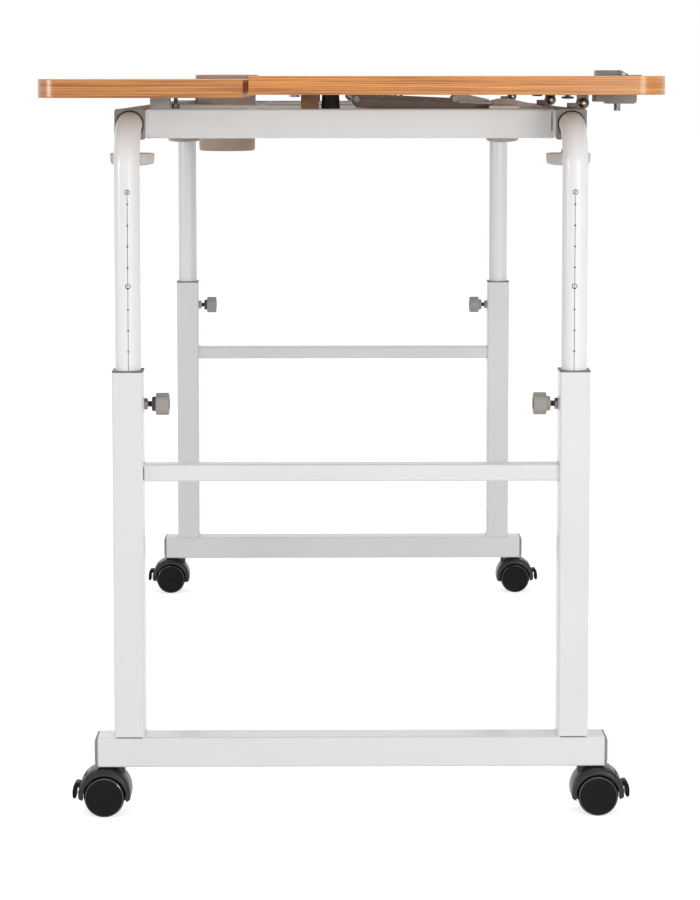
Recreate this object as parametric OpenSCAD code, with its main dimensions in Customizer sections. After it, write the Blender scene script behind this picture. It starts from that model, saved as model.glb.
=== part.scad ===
// Rolling desk: a fixed board and a tilting board on a welded frame, held up by
// two height-adjustable legs that stand on swivel casters.
// X runs across the depth, Y along the length and Z up. The origin is on the floor
// under the middle of the desk, and the near leg is the one at -Y.

/* [Boards] */
// Length of both boards, along Y
desk_length = 1200; // [1100:10:1400]
// Depth of the whole top, along X
desk_depth = 600; // [570:5:660]
// Height of the tilting board's top face above the floor
desk_height = 733; // [715:1:760]
// Thickness of each board
board_t = 18; // [16:1:25]
// Width of the fixed board
fixed_w = 196.5; // [185:0.5:205]
// Gap between the two boards
board_gap = 5.5; // [3:0.5:10]
// Radius of the outer corners, seen from above
corner_r = 28; // [10:1:50]
// Height of the fixed board above the frame
fixed_lift = 12; // [8:0.5:14]
// Height of the tilting board above the frame
tilt_lift = 15; // [14:0.5:20]

/* [Top frame] */
// Distance from the end of the top in to the bushes in the ends of the rails
frame_inset = 114; // [80:1:150]
// Distance from the side of the top in to the middle of a rail and of its posts
rail_inset = 80.5; // [78:0.5:86]
// Width of the square tube of rails, posts and foot beams
tube_w = 30; // [30:1:34]
// Wall of the square tube
tube_wall = 1.5; // [1.2:0.1:1.5]
// Outer corner radius of the square tube
tube_corner = 2.5; // [2:0.1:3]
// Depth of the cross tubes of the top frame, along Y
apron_depth = 20; // [16:1:26]
// Distance from the end of the rails to the outer face of an apron
apron_inset = 45; // [42:1:70]

/* [Leg tubes] */
// Diameter of the round tubes
round_d = 25.4; // [24:0.1:26]
// Wall of the round tubes
round_wall = 1.5; // [1:0.1:2.5]
// Radius of the bend, along the middle of the tube
bend_r = 40; // [34:1:48]
// Length of round tube inside each post
post_insert = 176.5; // [150:0.5:200]
// Length of round tube inside each rail
rail_insert = 240; // [180:5:280]

/* [Legs] */
// How far a foot beam runs past the middle of each post, without its end caps
foot_overhang = 31.5; // [26:0.5:45]
// Length of each square post
post_length = 363.5; // [330:0.5:380]
// Height of the crossbar's underside above the foot beam
crossbar_rise = 255; // [200:1:290]
// Height of the crossbar
crossbar_h = 17; // [12:1:24]
// Depth of the crossbar, along Y
crossbar_d = 20; // [14:1:24]
// Thickness of the end caps of a foot beam
cap_t = 3.6; // [2.5:0.1:6]

/* [Bushes] */
// Height of the collar on top of a post
post_bush_t = 1.5; // [1:0.1:8]
// Thickness of the flange in the end of a rail
rail_bush_t = 3; // [2.5:0.1:6]
// How far a bush's flange stands proud of the tube on each side
bush_lip = 0.3; // [0.1:0.1:0.8]
// Length of a bush's sleeve inside its tube
sleeve_length = 18; // [12:1:24]
// Radial gap between a round tube and its bushes
tube_fit = 0.05; // [0.02:0.01:0.1]
// Gap on each side of a guide plug inside a square tube
guide_gap = 0.2; // [0.1:0.05:0.3]
// Thickness of the head of a guide plug
plug_head_t = 4; // [3:0.5:8]
// Length of the spigot of a guide plug
plug_spigot = 18; // [10:1:30]

/* [Lock knobs] */
// Distance from the top of a post down to its lock knob
lock_drop = 32.5; // [30:0.5:60]
// Diameter of the threaded studs
stud_d = 6; // [5:0.5:8]
// Width across the corners of the weld nuts
nut_d = 11; // [10:0.5:14]
// Thickness of the weld nuts
nut_t = 4; // [3:0.5:6]
// Free length of stud between a weld nut and its knob
stud_free = 4.4; // [3:0.2:8]
// Diameter of the dark collar of a lock knob
lock_collar_d = 14.4; // [13:0.2:16]
// Thickness of the collars of the knobs
knob_collar_t = 3.8; // [3:0.2:5]
// Diameter of a lock knob
lock_knob_d = 22; // [20:0.5:28]
// Length of a lock knob
lock_knob_t = 13; // [10:0.5:18]
// Diameter of the hand knobs under the rails
rail_knob_d = 45; // [38:0.5:50]
// Thickness of the hand knobs under the rails
rail_knob_t = 13; // [10:0.5:18]
// Distance from the end of a rail to its hand knob
rail_knob_inset = 30; // [28:1:36]
// Gap between the tip of a stud and the round tube
stud_gap = 0.3; // [0.2:0.1:0.6]

/* [Tilt hinges] */
// Distance from the side of the top in to the hinge axis
hinge_inset = 67; // [64:0.5:67.5]
// Distance from the end of the rails in to the end hinges
hinge_end_inset = 26; // [22:1:60]
// Distance of the middle hinge from the middle of the desk, towards the near end
hinge_mid = 110; // [0:5:200]
// Height of the hinge axis above the frame
hinge_rise = 6; // [6:0.1:6.5]
// Radius of the hinge ears
ear_r = 6; // [5.8:0.1:6]
// Thickness of each hinge ear
ear_t = 2.5; // [2:0.1:4]
// Width of the knuckle between the ears
knuckle_w = 8.4; // [6:0.2:12]
// Gap between the knuckle and each ear
knuckle_gap = 0.3; // [0.2:0.05:0.5]
// Diameter of the hinge and prop pins
pin_d = 6; // [5:0.2:6]
// Radial clearance of a pin, axle or screw in its bore
pin_fit = 0.05; // [0.02:0.01:0.1]
// Thickness of the hinge plates
leaf_t = 1.2; // [1:0.1:2]
// Reach of a hinge leaf from the axis towards the free edge
leaf_reach = 25; // [22:0.5:30]
// Width of a hinge leaf, along Y
leaf_w = 28; // [26:1:40]

/* [Prop] */
// Distance from the hinge axis to the prop's pivot, along X
prop_pivot_x = 81.5; // [80:0.5:83]
// Height of the prop's pivot above the frame
prop_pivot_z = 3; // [2.5:0.1:3.2]
// Length of a prop arm between its pivot and its rod
prop_length = 144.7; // [144:0.1:146]
// Height of the rod above the prop's pivot at rest
prop_rise = 6.5; // [6:0.1:6.8]
// Thickness of a prop arm
prop_t = 4; // [3:0.5:6]
// Diameter of the prop rod
rod_d = 6; // [5:0.1:6]
// Length of the toothed racks, along X
rack_length = 42; // [30:6:42]
// Pitch of the rack's teeth
rack_pitch = 6; // [5:0.5:8]
// Height of the rack's teeth
rack_tooth = 2; // [1:0.1:2]
// Thickness of the rack's plate
rack_plate = 1.2; // [0.8:0.1:1.2]
// Width of a rack, along Y
rack_w = 20; // [12:1:24]

/* [Cup holder] */
// Outer diameter of the cup's body under its flange
cup_d = 77.6; // [70:0.2:78]
// Outer diameter of the cup's flange
cup_flange_d = 84; // [82:0.5:90]
// Height of the flange above the fixed board
cup_flange_t = 5.5; // [3:0.1:8]
// Depth of the cup's body below the top of the fixed board
cup_depth = 96; // [80:1:110]
// Inner diameter of the cup
cup_bore_d = 70; // [60:0.5:71]
// Thickness of the cup's floor
cup_floor = 2.5; // [2:0.1:5]
// Distance from the side of the top in to the cup's axis
cup_inset = 143.5; // [142:0.5:145]
// Distance from the far end of the top in to the cup's axis
cup_end_inset = 240; // [230:1:300]
// Gap around the cup's body in the board
cup_gap = 0.5; // [0.3:0.1:1.5]

/* [Edge stop] */
// Distance of the edge stop from the near end of the desk, along Y
stop_inset = 225; // [100:1:500]
// Width of the edge stop, along Y
stop_w = 40; // [30:1:60]
// Length of the upper jaw, along X
stop_jaw = 44; // [42:0.5:50]
// Height of the upper jaw
stop_h = 6; // [4:0.1:12]
// Depth of the lower jaw
stop_drop = 10.5; // [9.5:0.1:12]
// Thickness of the web round the edge of the board
stop_web = 1; // [0.8:0.1:1.2]
// Diameter of the clamp screw
stop_screw_d = 6.7; // [6:0.1:8]
// Length of clamp screw below the lower jaw
stop_screw_out = 7.5; // [5:0.5:12]

/* [Casters] */
// Height of a caster from the floor to the foot beam
caster_h = 50; // [50:0.5:54]
// Diameter of the wheels
wheel_d = 40; // [38:0.5:40]
// Width of each wheel
wheel_w = 14; // [12:0.5:16]
// Distance from the stem's axis out to the wheels' axle
trail = 13.5; // [12:0.5:15]
// Distance from the end of the foot beam in to the stem
stem_inset = 19.5; // [17:0.5:25]
// Diameter of the stem
stem_d = 8; // [7:0.5:10]
// Length of the stem inside the foot beam
stem_in = 22; // [15:0.5:24]
// Width of the hood, along the axle
hood_w = 34; // [31:0.5:35]
// Diameter of the axle
axle_d = 6; // [5:0.5:7]
// Thickness of the web between the wheels
web_t = 6; // [5:0.2:6.4]
// Gap between a wheel and the web
wheel_gap = 0.6; // [0.4:0.1:1]
// Width of a brake lever, along the axle
lever_w = 14; // [8:0.5:16]

/* [Supports] */
// Width of the spacers under the fixed board, along X
spacer_w = 20; // [15:1:30]
// Width of the rest blocks under the tilting board, along X
rest_w = 18; // [12:1:24]
// Diameter of a rubber bumper at its foot
bumper_d = 19; // [15:0.5:20]
// Diameter of a rubber bumper at its top
bumper_top_d = 17.5; // [14:0.5:20]
// Gap between the tilting board and what it rests on
rest_gap = 0.3; // [0.2:0.1:0.6]
// Diameter of the wood screws
screw_d = 4; // [3:0.2:5]
// Length of a wood screw inside a board
screw_in = 12; // [8:0.5:14]

/* [Hidden] */
$fn = 64;
hull_fn = 32;
eps = 0.01;

// Colours
steel_white = [0.93, 0.93, 0.92];
wood = [0.85, 0.56, 0.32];
taupe = [0.62, 0.59, 0.56];
nylon_black = [0.13, 0.13, 0.14];
zinc = [0.72, 0.73, 0.75];
dark_steel = [0.3, 0.27, 0.26];
block_brown = [0.45, 0.36, 0.3];

// Heights
foot_top = caster_h + tube_w;
post_top = foot_top + post_length;
frame_top = desk_height - board_t - tilt_lift;
rail_z = frame_top - tube_w / 2;
fixed_z = frame_top + fixed_lift;
fixed_top = fixed_z + board_t;
tilt_z = frame_top + tilt_lift;
lock_z = post_top - lock_drop;

// Places along X
edge_x = desk_depth / 2;
leg_x = edge_x - rail_inset;
hinge_x = edge_x - hinge_inset;
foot_length = 2 * (leg_x + foot_overhang);
fixed_edge_x = -edge_x + fixed_w;
tilt_edge_x = fixed_edge_x + board_gap;

// Places along Y
rail_end = desk_length / 2 - frame_inset;
leg_y = rail_end + bend_r;
rail_tube_end = rail_end - rail_bush_t;
apron_out = rail_end - apron_inset;
apron_y = apron_out - apron_depth / 2;
knob_y = rail_end - rail_knob_inset;

// Tubes
inner_w = tube_w - 2 * tube_wall;
inner_corner = max(tube_corner - tube_wall, 0.3);
plug_w = inner_w - 2 * guide_gap;
cap_plug = 10;
cap_inset = 4;
cap_face_w = tube_w - 2 * cap_inset;
round_r = round_d / 2;
bush_bore = round_r + tube_fit;
bush_w = tube_w + 2 * bush_lip;
mouth_gap = 1.1;
mouth_r = round_r + mouth_gap;
mouth_depth = 2.2;
tube_bottom = post_top - post_insert;
bend_z = rail_z - bend_r;
span = 2 * leg_x - tube_w;

// Studs and pins
stud_r = stud_d / 2;
pin_r = pin_d / 2;
rod_r = rod_d / 2;
screw_r = screw_d / 2;
stud_start = round_r + stud_gap;
nut_face = tube_w / 2 + nut_t;
collar_start = nut_face + stud_free;
knob_start = collar_start + knob_collar_t;
rail_stud_extra = 2;
rail_collar_start = nut_face + stud_free + rail_stud_extra;
rail_knob_start = rail_collar_start + knob_collar_t;
lock_lobes = 6;
rail_lobes = 8;
lock_flute_r = 3;
rail_flute_r = 7;
flute_set_out = 0.8;

// Hinges: three along the rail that carries them
hinge_z = frame_top + hinge_rise;
hinge_end = rail_end - hinge_end_inset;
hinge_ys = [-hinge_end, -hinge_mid, hinge_end];
knuckle_drop = 0.4;
knuckle_r = ear_r - knuckle_drop;
leaf_z = tilt_z - leaf_t;
leaf_over = ear_r;
ear_in = knuckle_w / 2 + knuckle_gap;
ear_out = ear_in + ear_t;
pin_head_t = 2.5;
pin_head_r = 5;
foot_reach = 15;
base_reach = 28;
base_w = 24;
leaf_screw_back = 10;
leaf_screw_x = -leaf_reach + leaf_screw_back;
leaf_screw_inset = 6;
leaf_screw_y = leaf_w / 2 - leaf_screw_inset;
head_r = 5.5;
head_t = 3.6;

// Prop
pivot_x = hinge_x - prop_pivot_x;
pivot_z = frame_top + prop_pivot_z;
prop_angle = asin(prop_rise / prop_length);
rod_x = pivot_x - prop_length * cos(prop_angle);
rod_z = pivot_z + prop_rise;
arm_end = 4.8;
arm_eye_r = 4.5;
arm_above = 1;
arm_below = 9;
arm_chamfer = 3;
bracket_t = 3;
bracket_w = 30;
bracket_in = 11;
bracket_r = 7;
bracket_reach = 15.5;
cheek_flat = 12;
cheek_reach = 47;
cheek_end = 2;
prop_y = apron_out - apron_depth - bracket_reach;
prop_gap = 0.5;
bracket_y = prop_y + prop_gap;
rack_from_hinge = 218;
rack_gap = 8;
rack_x = hinge_x - rack_from_hinge;
rack_y = prop_y - prop_t - rack_gap - rack_w;
rod_nut_r = 3.8;
rod_nut_t = 3;

// Supports on the aprons
spacer_gap = 2;
bolt_gap = 5.5;
bolt_head_t = 3;
bolt_head_r = 3.8;
bolt_nut_d = 8;
bolt_nut_t = 5;
spacer_x = -leg_x + tube_w / 2 + spacer_gap + spacer_w / 2;
bolt_x = spacer_x + spacer_w / 2 + bolt_gap;
rest_inset = 57;
bumper_inset = 78;
rest_x = tilt_edge_x + rest_inset;
bumper_x = tilt_edge_x + bumper_inset;
rest_screw_gap = 1.1;
rest_screw_x = rest_x - rest_w / 2 - rest_screw_gap - head_r;

// Edge stop
stop_screw_x = edge_x - stop_jaw / 2;

// Cup
cup_taper = 1.5;
cup_x = edge_x - cup_inset;
cup_y = desk_length / 2 - cup_end_inset;
cup_z = fixed_top - cup_depth;
cup_round = 3;

// Casters
stem_x = foot_length / 2 - stem_inset;
axle_x = stem_x + trail;
wheel_r = wheel_d / 2;
axle_z = wheel_r;
hood_gap = 1.8;
hood_in = wheel_r + hood_gap;
hood_t = 4.2;
hood_out = hood_in + hood_t;
hood_drop = 1.5;
hood_top = caster_h - hood_drop;
hood_low = 15.5;
hood_cz = hood_top - hood_out;
stem_collar_d = 13;
stem_collar_gap = 0.3;
stem_boss = 8;
web_over = 1;
web_cut = 7;
web_low = axle_z - web_cut;
stem_top = caster_h + stem_in;
socket_d = 14;
wheel_in = web_t / 2 + wheel_gap;
wheel_out = wheel_in + wheel_w;
wheel_round = 2;
hub_cap_t = 3;
lever_out = 1.9;
lever_up = 7;
lever_px = axle_x + hood_in + lever_out;
lever_pz = axle_z + lever_up;
lever_r = 2.1;
lever_pin_r = 1.2;
lever_slot_gap = 0.3;
lever_slot_in = 5;
lever_slot_len = 12;
lever_slot_h = 11.5;
lever_pin_in = 2;
lever_reach = 8.8;
lever_rise = 5.6;
lever_hang = 10.6;

// Helpers

// Mirrors a piece drawn for the right-hand near corner to the corner asked for.
module corner(side, end) {
    mirror([side < 0 ? 1 : 0, 0, 0]) mirror([0, end > 0 ? 1 : 0, 0]) children();
}

// A rectangle with round corners, centred.
module round_rect(w, h, r) {
    square([w - 2 * r, h], center = true);
    square([w, h - 2 * r], center = true);
    for (sx = [-1, 1], sy = [-1, 1])
        translate([sx * (w / 2 - r), sy * (h / 2 - r)]) circle(r);
}

// The section of a rectangular tube.
module tube_section(w, h) {
    difference() {
        round_rect(w, h, tube_corner);
        round_rect(w - 2 * tube_wall, h - 2 * tube_wall, inner_corner);
    }
}

module along_x(length) {
    rotate([0, 90, 0]) linear_extrude(length, center = true) children();
}

module along_y(length) {
    rotate([90, 0, 0]) linear_extrude(length, center = true) children();
}

// A cylinder along Y between two places.
module rod_y(r, y0, y1) {
    translate([0, y0, 0]) rotate([-90, 0, 0]) cylinder(r = r, h = y1 - y0);
}

// A hexagonal nut with its bore, along +Z.
module hex_nut(d, t, bore_r) {
    difference() {
        cylinder(d = d, h = t, $fn = 6);
        translate([0, 0, -1]) cylinder(r = bore_r, h = t + 2);
    }
}

// Legs

// A post, with the hole and the weld nut of its lock knob on the inner side.
module post() {
    translate([leg_x, -leg_y, 0]) {
        difference() {
            translate([0, 0, foot_top]) linear_extrude(post_length) tube_section(tube_w, tube_w);
            translate([-tube_w / 2 - 1, 0, lock_z]) rotate([0, 90, 0])
                cylinder(r = stud_r + pin_fit, h = tube_wall + 2);
        }
        translate([-nut_face, 0, lock_z]) rotate([0, 90, 0]) hex_nut(nut_d, nut_t, stud_r + pin_fit);
    }
}

module crossbar() {
    translate([0, -leg_y, foot_top + crossbar_rise + crossbar_h / 2])
        along_x(span) tube_section(crossbar_h, crossbar_d);
}

// A foot beam with a socket for each caster stem.
module foot_beam() {
    translate([0, -leg_y, 0]) difference() {
        union() {
            translate([0, 0, caster_h + tube_w / 2]) along_x(foot_length) tube_section(tube_w, tube_w);
            for (s = [-1, 1]) translate([s * stem_x, 0, caster_h + tube_wall / 2])
                cylinder(d = socket_d, h = tube_w - tube_wall);
        }
        for (s = [-1, 1]) translate([s * stem_x, 0, caster_h - 1])
            cylinder(d = stem_d + 2 * pin_fit, h = stem_in + 2);
    }
}

// The two plastic caps in the ends of a foot beam.
module foot_caps() {
    for (s = [-1, 1]) translate([s * foot_length / 2, -leg_y, caster_h + tube_w / 2])
        rotate([0, 90 * s, 0]) {
            hull() {
                linear_extrude(cap_t / 2) round_rect(tube_w, tube_w, tube_corner, $fn = hull_fn);
                linear_extrude(cap_t) round_rect(cap_face_w, cap_face_w, tube_corner, $fn = hull_fn);
            }
            translate([0, 0, -cap_plug]) linear_extrude(cap_plug)
                round_rect(plug_w, plug_w, inner_corner);
        }
}

// A square bush with a flange on top of its tube and a sleeve inside it.
module square_bush(flange_t) {
    difference() {
        union() {
            linear_extrude(flange_t) round_rect(bush_w, bush_w, tube_corner);
            translate([0, 0, -sleeve_length]) linear_extrude(sleeve_length + eps)
                round_rect(plug_w, plug_w, inner_corner);
        }
        translate([0, 0, -sleeve_length - 1]) cylinder(r = bush_bore, h = sleeve_length + flange_t + 2);
    }
}

module post_bushes() {
    for (s = [-1, 1]) translate([s * leg_x, -leg_y, post_top]) square_bush(post_bush_t);
}

// Leg tubes

module ring_section() {
    difference() {
        circle(round_r);
        circle(round_r - round_wall);
    }
}

// A round tube that rises from its post and bends over into its rail.
module leg_tube() {
    translate([leg_x, -leg_y, 0]) {
        translate([0, 0, tube_bottom]) linear_extrude(bend_z - tube_bottom) ring_section();
        translate([0, bend_r, bend_z]) rotate([0, 90, 0]) rotate([0, 0, 180])
            rotate_extrude(angle = 90) translate([bend_r, 0]) ring_section();
        translate([0, bend_r + rail_insert / 2, rail_z]) along_y(rail_insert) ring_section();
    }
}

// A plastic plug that guides the end of a round tube inside a square one, along +Z.
module guide_plug() {
    translate([0, 0, -plug_head_t]) linear_extrude(plug_head_t) round_rect(plug_w, plug_w, inner_corner);
    translate([0, 0, -eps]) cylinder(r = round_r - round_wall - tube_fit, h = plug_spigot);
}

module tube_plugs() {
    for (s = [-1, 1]) {
        translate([s * leg_x, -leg_y, tube_bottom]) guide_plug();
        translate([s * leg_x, -rail_end + rail_insert, rail_z]) rotate([90, 0, 0]) guide_plug();
    }
}

// Top frame

// A rail, with the weld nuts of its two hand knobs underneath.
module rail() {
    translate([leg_x, 0, rail_z]) {
        difference() {
            along_y(2 * rail_tube_end) tube_section(tube_w, tube_w);
            for (e = [-1, 1]) translate([0, e * knob_y, -tube_w / 2 - 1])
                cylinder(r = stud_r + pin_fit, h = tube_wall + 2);
        }
        for (e = [-1, 1]) translate([0, e * knob_y, -nut_face])
            hex_nut(nut_d, nut_t, stud_r + pin_fit);
    }
}

// A cross tube of the top frame between the two rails.
module cross_beam() {
    translate([0, 0, rail_z]) along_x(span) tube_section(tube_w, apron_depth);
}

// An apron: the cross tube near an end, with a hole for the fixed board's bolts.
module apron() {
    difference() {
        translate([0, -apron_y, 0]) cross_beam();
        for (x = [spacer_x, bolt_x]) translate([x, -apron_y, frame_top - tube_wall - 1])
            cylinder(r = screw_r + pin_fit, h = tube_wall + 2);
    }
}

module rail_bushes() {
    for (s = [-1, 1], e = [-1, 1]) corner(s, e)
        translate([leg_x, -rail_tube_end, rail_z]) rotate([90, 0, 0]) difference() {
            square_bush(rail_bush_t);
            translate([0, 0, rail_bush_t - mouth_depth]) cylinder(r = mouth_r, h = mouth_depth + 1);
        }
}

// Spacers under the fixed board and rest blocks under the tilting board.
module support_blocks() {
    for (e = [-1, 1]) {
        difference() {
            translate([spacer_x - spacer_w / 2, e * apron_y - apron_depth / 2, frame_top])
                cube([spacer_w, apron_depth, fixed_lift]);
            translate([spacer_x, e * apron_y, frame_top - 1])
                cylinder(r = screw_r + pin_fit, h = fixed_lift + 2);
        }
        translate([rest_x - rest_w / 2, e * apron_y - apron_depth / 2, frame_top])
            cube([rest_w, apron_depth, tilt_lift - rest_gap]);
    }
}

module rubber_bumpers() {
    for (e = [-1, 1]) translate([bumper_x, e * apron_y, frame_top])
        cylinder(d1 = bumper_d, d2 = bumper_top_d, h = tilt_lift - rest_gap);
}

// Screws that hold the fixed board: one through each spacer and one with a nut beside it.
module board_screws() {
    for (e = [-1, 1]) {
        for (x = [spacer_x, bolt_x])
            translate([x, e * apron_y, frame_top - tube_wall - bolt_head_t]) {
                cylinder(r = screw_r, h = bolt_head_t + tube_wall + fixed_lift + screw_in);
                cylinder(r = bolt_head_r, h = bolt_head_t);
            }
        translate([bolt_x, e * apron_y, frame_top]) hex_nut(bolt_nut_d, bolt_nut_t, screw_r);
    }
}

// Hinges

// A base plate with two ears that stand on the rail and reach to the hinge axis.
module hinge_base() {
    difference() {
        union() {
            translate([-base_reach, -base_w / 2, -hinge_rise])
                cube([base_reach - foot_reach / 2, base_w, leaf_t]);
            for (s = [-1, 1]) translate([0, s * (ear_in + ear_t / 2), 0]) along_y(ear_t) {
                circle(ear_r);
                translate([-foot_reach, -hinge_rise]) square([foot_reach, hinge_rise]);
            }
        }
        rod_y(pin_r + pin_fit, -base_w, base_w);
    }
}

// A leaf plate under the tilting board with its knuckle.
module hinge_leaf() {
    difference() {
        union() {
            translate([-leaf_reach, -leaf_w / 2, leaf_z - hinge_z])
                cube([leaf_reach + leaf_over, leaf_w, leaf_t]);
            along_y(knuckle_w) {
                circle(knuckle_r);
                translate([-knuckle_r, 0]) square([2 * knuckle_r, leaf_z - hinge_z + eps]);
            }
        }
        rod_y(pin_r + pin_fit, -leaf_w, leaf_w);
        for (s = [-1, 1]) translate([leaf_screw_x, s * leaf_screw_y, 0])
            cylinder(r = screw_r + pin_fit, h = tilt_lift);
    }
}

// A pin along Y with a round head at its near end and a nut at the other.
module headed_pin(y0, y1) {
    rod_y(pin_r, y0 - pin_head_t, y1 + pin_head_t);
    rod_y(pin_head_r, y0 - pin_head_t, y0);
    translate([0, y1, 0]) rotate([-90, 0, 0]) cylinder(r = pin_head_r, h = pin_head_t, $fn = 6);
}

module at_hinges() {
    for (y = hinge_ys) translate([hinge_x, y, hinge_z]) children();
}

// A screw with a round head, driven up into the tilting board.
module tilt_screw(length) {
    cylinder(r = screw_r, h = length);
    translate([0, 0, -head_t]) cylinder(r = head_r, h = head_t);
}

// Two screws in each hinge leaf, and one beside each rest block.
module hinge_screws() {
    at_hinges() for (s = [-1, 1]) translate([leaf_screw_x, s * leaf_screw_y, leaf_z - hinge_z])
        tilt_screw(leaf_t + screw_in);
    for (e = [-1, 1]) translate([rest_screw_x, e * apron_y, tilt_z]) tilt_screw(screw_in);
}

// Prop

// An arm of the prop, drawn along -X from its pivot.
module prop_arm() {
    translate([pivot_x, 0, pivot_z]) rotate([0, prop_angle, 0]) difference() {
        union() {
            along_y(prop_t) polygon([
                [arm_end, -arm_below / 2],
                [arm_end - arm_chamfer, -arm_below],
                [-prop_length, -arm_below],
                [-prop_length - arm_end, -arm_below / 2],
                [-prop_length - arm_end, 0],
                [-prop_length, arm_above],
                [0, arm_above],
                [arm_end, 0]
            ]);
            for (x = [0, -prop_length]) translate([x, 0, 0]) rod_y(arm_eye_r, -prop_t / 2, prop_t / 2);
        }
        rod_y(pin_r + pin_fit, -prop_t, prop_t);
        translate([-prop_length, 0, 0]) rod_y(rod_r + pin_fit, -prop_t, prop_t);
    }
}

module prop_arms() {
    for (e = [-1, 1]) translate([0, e * (prop_y - prop_t / 2), 0]) prop_arm();
}

module prop_rod() {
    translate([rod_x, 0, rod_z]) {
        rod_y(rod_r, -prop_y - rod_nut_t, prop_y + rod_nut_t);
        for (e = [-1, 1]) translate([0, e * prop_y, 0]) rotate([-90 * e, 0, 0])
            cylinder(r = rod_nut_r, h = rod_nut_t, $fn = 6);
    }
}

// A bracket on the apron with a long cheek that holds the prop's pivot pin.
module prop_bracket() {
    plate_in = bracket_y;
    difference() {
        union() {
            translate([pivot_x - bracket_in, -apron_out, frame_top])
                cube([bracket_w, apron_out - plate_in, bracket_t]);
            translate([pivot_x, -plate_in - bracket_t / 2, pivot_z]) along_y(bracket_t) {
                circle(bracket_r);
                polygon([
                    [-bracket_r, -prop_pivot_z], [-bracket_r, 0], [0, bracket_r],
                    [cheek_flat, bracket_r], [cheek_reach, cheek_end - prop_pivot_z],
                    [cheek_reach, -prop_pivot_z]
                ]);
            }
        }
        translate([pivot_x, 0, pivot_z])
            rod_y(pin_r + pin_fit, -plate_in - 2 * bracket_t, -plate_in + bracket_t);
    }
    translate([pivot_x, 0, pivot_z])
        headed_pin(-plate_in - bracket_t, -prop_y + prop_t + prop_gap);
}

module prop_brackets() {
    for (e = [-1, 1]) corner(1, e) prop_bracket();
}

// A rack of saw teeth under the tilting board.
module prop_rack() {
    count = floor(rack_length / rack_pitch);
    lean = rack_pitch * 0.3;
    crest = rack_pitch * 0.5;
    root = rack_pitch * 0.6;
    along_y(rack_w) {
        translate([0, -rack_plate]) square([rack_length, rack_plate]);
        for (i = [0:count - 1]) translate([i * rack_pitch, -rack_plate])
            polygon([[0, eps], [lean, -rack_tooth], [crest, -rack_tooth], [root, eps]]);
    }
}

module prop_racks() {
    for (e = [-1, 1]) translate([rack_x, e * (rack_y + rack_w / 2), tilt_z]) prop_rack();
}

// Boards

// The plan of a board from x0 to x1, with the corners at x0 rounded.
module board_plan(x0, x1) {
    translate([x0 + corner_r, -desk_length / 2]) square([x1 - x0 - corner_r, desk_length]);
    translate([x0, -desk_length / 2 + corner_r]) square([x1 - x0, desk_length - 2 * corner_r]);
    for (s = [-1, 1]) translate([x0 + corner_r, s * (desk_length / 2 - corner_r)]) circle(corner_r);
}

module fixed_board() {
    difference() {
        translate([0, 0, fixed_z]) linear_extrude(board_t) board_plan(-edge_x, fixed_edge_x);
        translate([-cup_x, cup_y, fixed_z - 1]) cylinder(r = cup_d / 2 + cup_gap, h = board_t + 2);
        for (e = [-1, 1], x = [spacer_x, bolt_x]) translate([x, e * apron_y, fixed_z - 1])
            cylinder(r = screw_r + pin_fit, h = screw_in + 2);
    }
}

module tilting_board() {
    difference() {
        translate([0, 0, tilt_z]) linear_extrude(board_t)
            mirror([1, 0]) board_plan(-edge_x, -tilt_edge_x);
        at_hinges() for (s = [-1, 1])
            translate([leaf_screw_x, s * leaf_screw_y, leaf_z - hinge_z])
                cylinder(r = screw_r + pin_fit, h = leaf_t + screw_in + 1);
        for (e = [-1, 1]) translate([rest_screw_x, e * apron_y, tilt_z - 1])
            cylinder(r = screw_r + pin_fit, h = screw_in + 2);
    }
}

// Edge stop

// A clamp round the edge of the tilting board, with a raised jaw on top.
module edge_stop() {
    top = tilt_z + board_t;
    x0 = edge_x - stop_jaw;
    low = tilt_z - stop_drop;
    outer = edge_x + stop_web;
    block = 19.5;
    rib = 4;
    notch = 2.4;
    ramp = 32;
    strip = 1.2;
    heel = 4;
    round = 3;
    pad_start = 10;
    pad_rise = 2;
    overhang = 2;
    difference() {
        translate([0, -desk_length / 2 + stop_inset, 0]) along_y(stop_w) {
            polygon([
                [x0, top], [x0, top + stop_h], [x0 + block + rib, top + stop_h],
                [x0 + ramp, top + strip], [outer, top + strip],
                [outer, tilt_z - strip], [edge_x - heel, tilt_z - strip],
                [edge_x - heel, low + round], [edge_x - heel - round, low],
                [x0 + pad_start, low], [x0 + pad_start, low + pad_rise],
                [x0 - overhang, low + pad_rise], [x0 - overhang, tilt_z], [edge_x, tilt_z],
                [edge_x, top]
            ]);
        }
        translate([x0 + block, -desk_length / 2 + stop_inset - stop_w / 2 - 1, top + strip])
            cube([notch, stop_w / 2, stop_h]);
        translate([stop_screw_x, -desk_length / 2 + stop_inset, low - 1])
            cylinder(d = stop_screw_d + 2 * pin_fit, h = stop_drop + 2);
    }
}

module edge_stop_screw() {
    slot_w = 1.2;
    slot_deep = 2;
    tip_gap = 0.2;
    translate([stop_screw_x, -desk_length / 2 + stop_inset, tilt_z - stop_drop - stop_screw_out])
        difference() {
            cylinder(d = stop_screw_d, h = stop_drop + stop_screw_out - tip_gap);
            translate([-slot_w / 2, -stop_screw_d, -1]) cube([slot_w, 2 * stop_screw_d, slot_deep + 1]);
        }
}

// Cup holder

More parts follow.
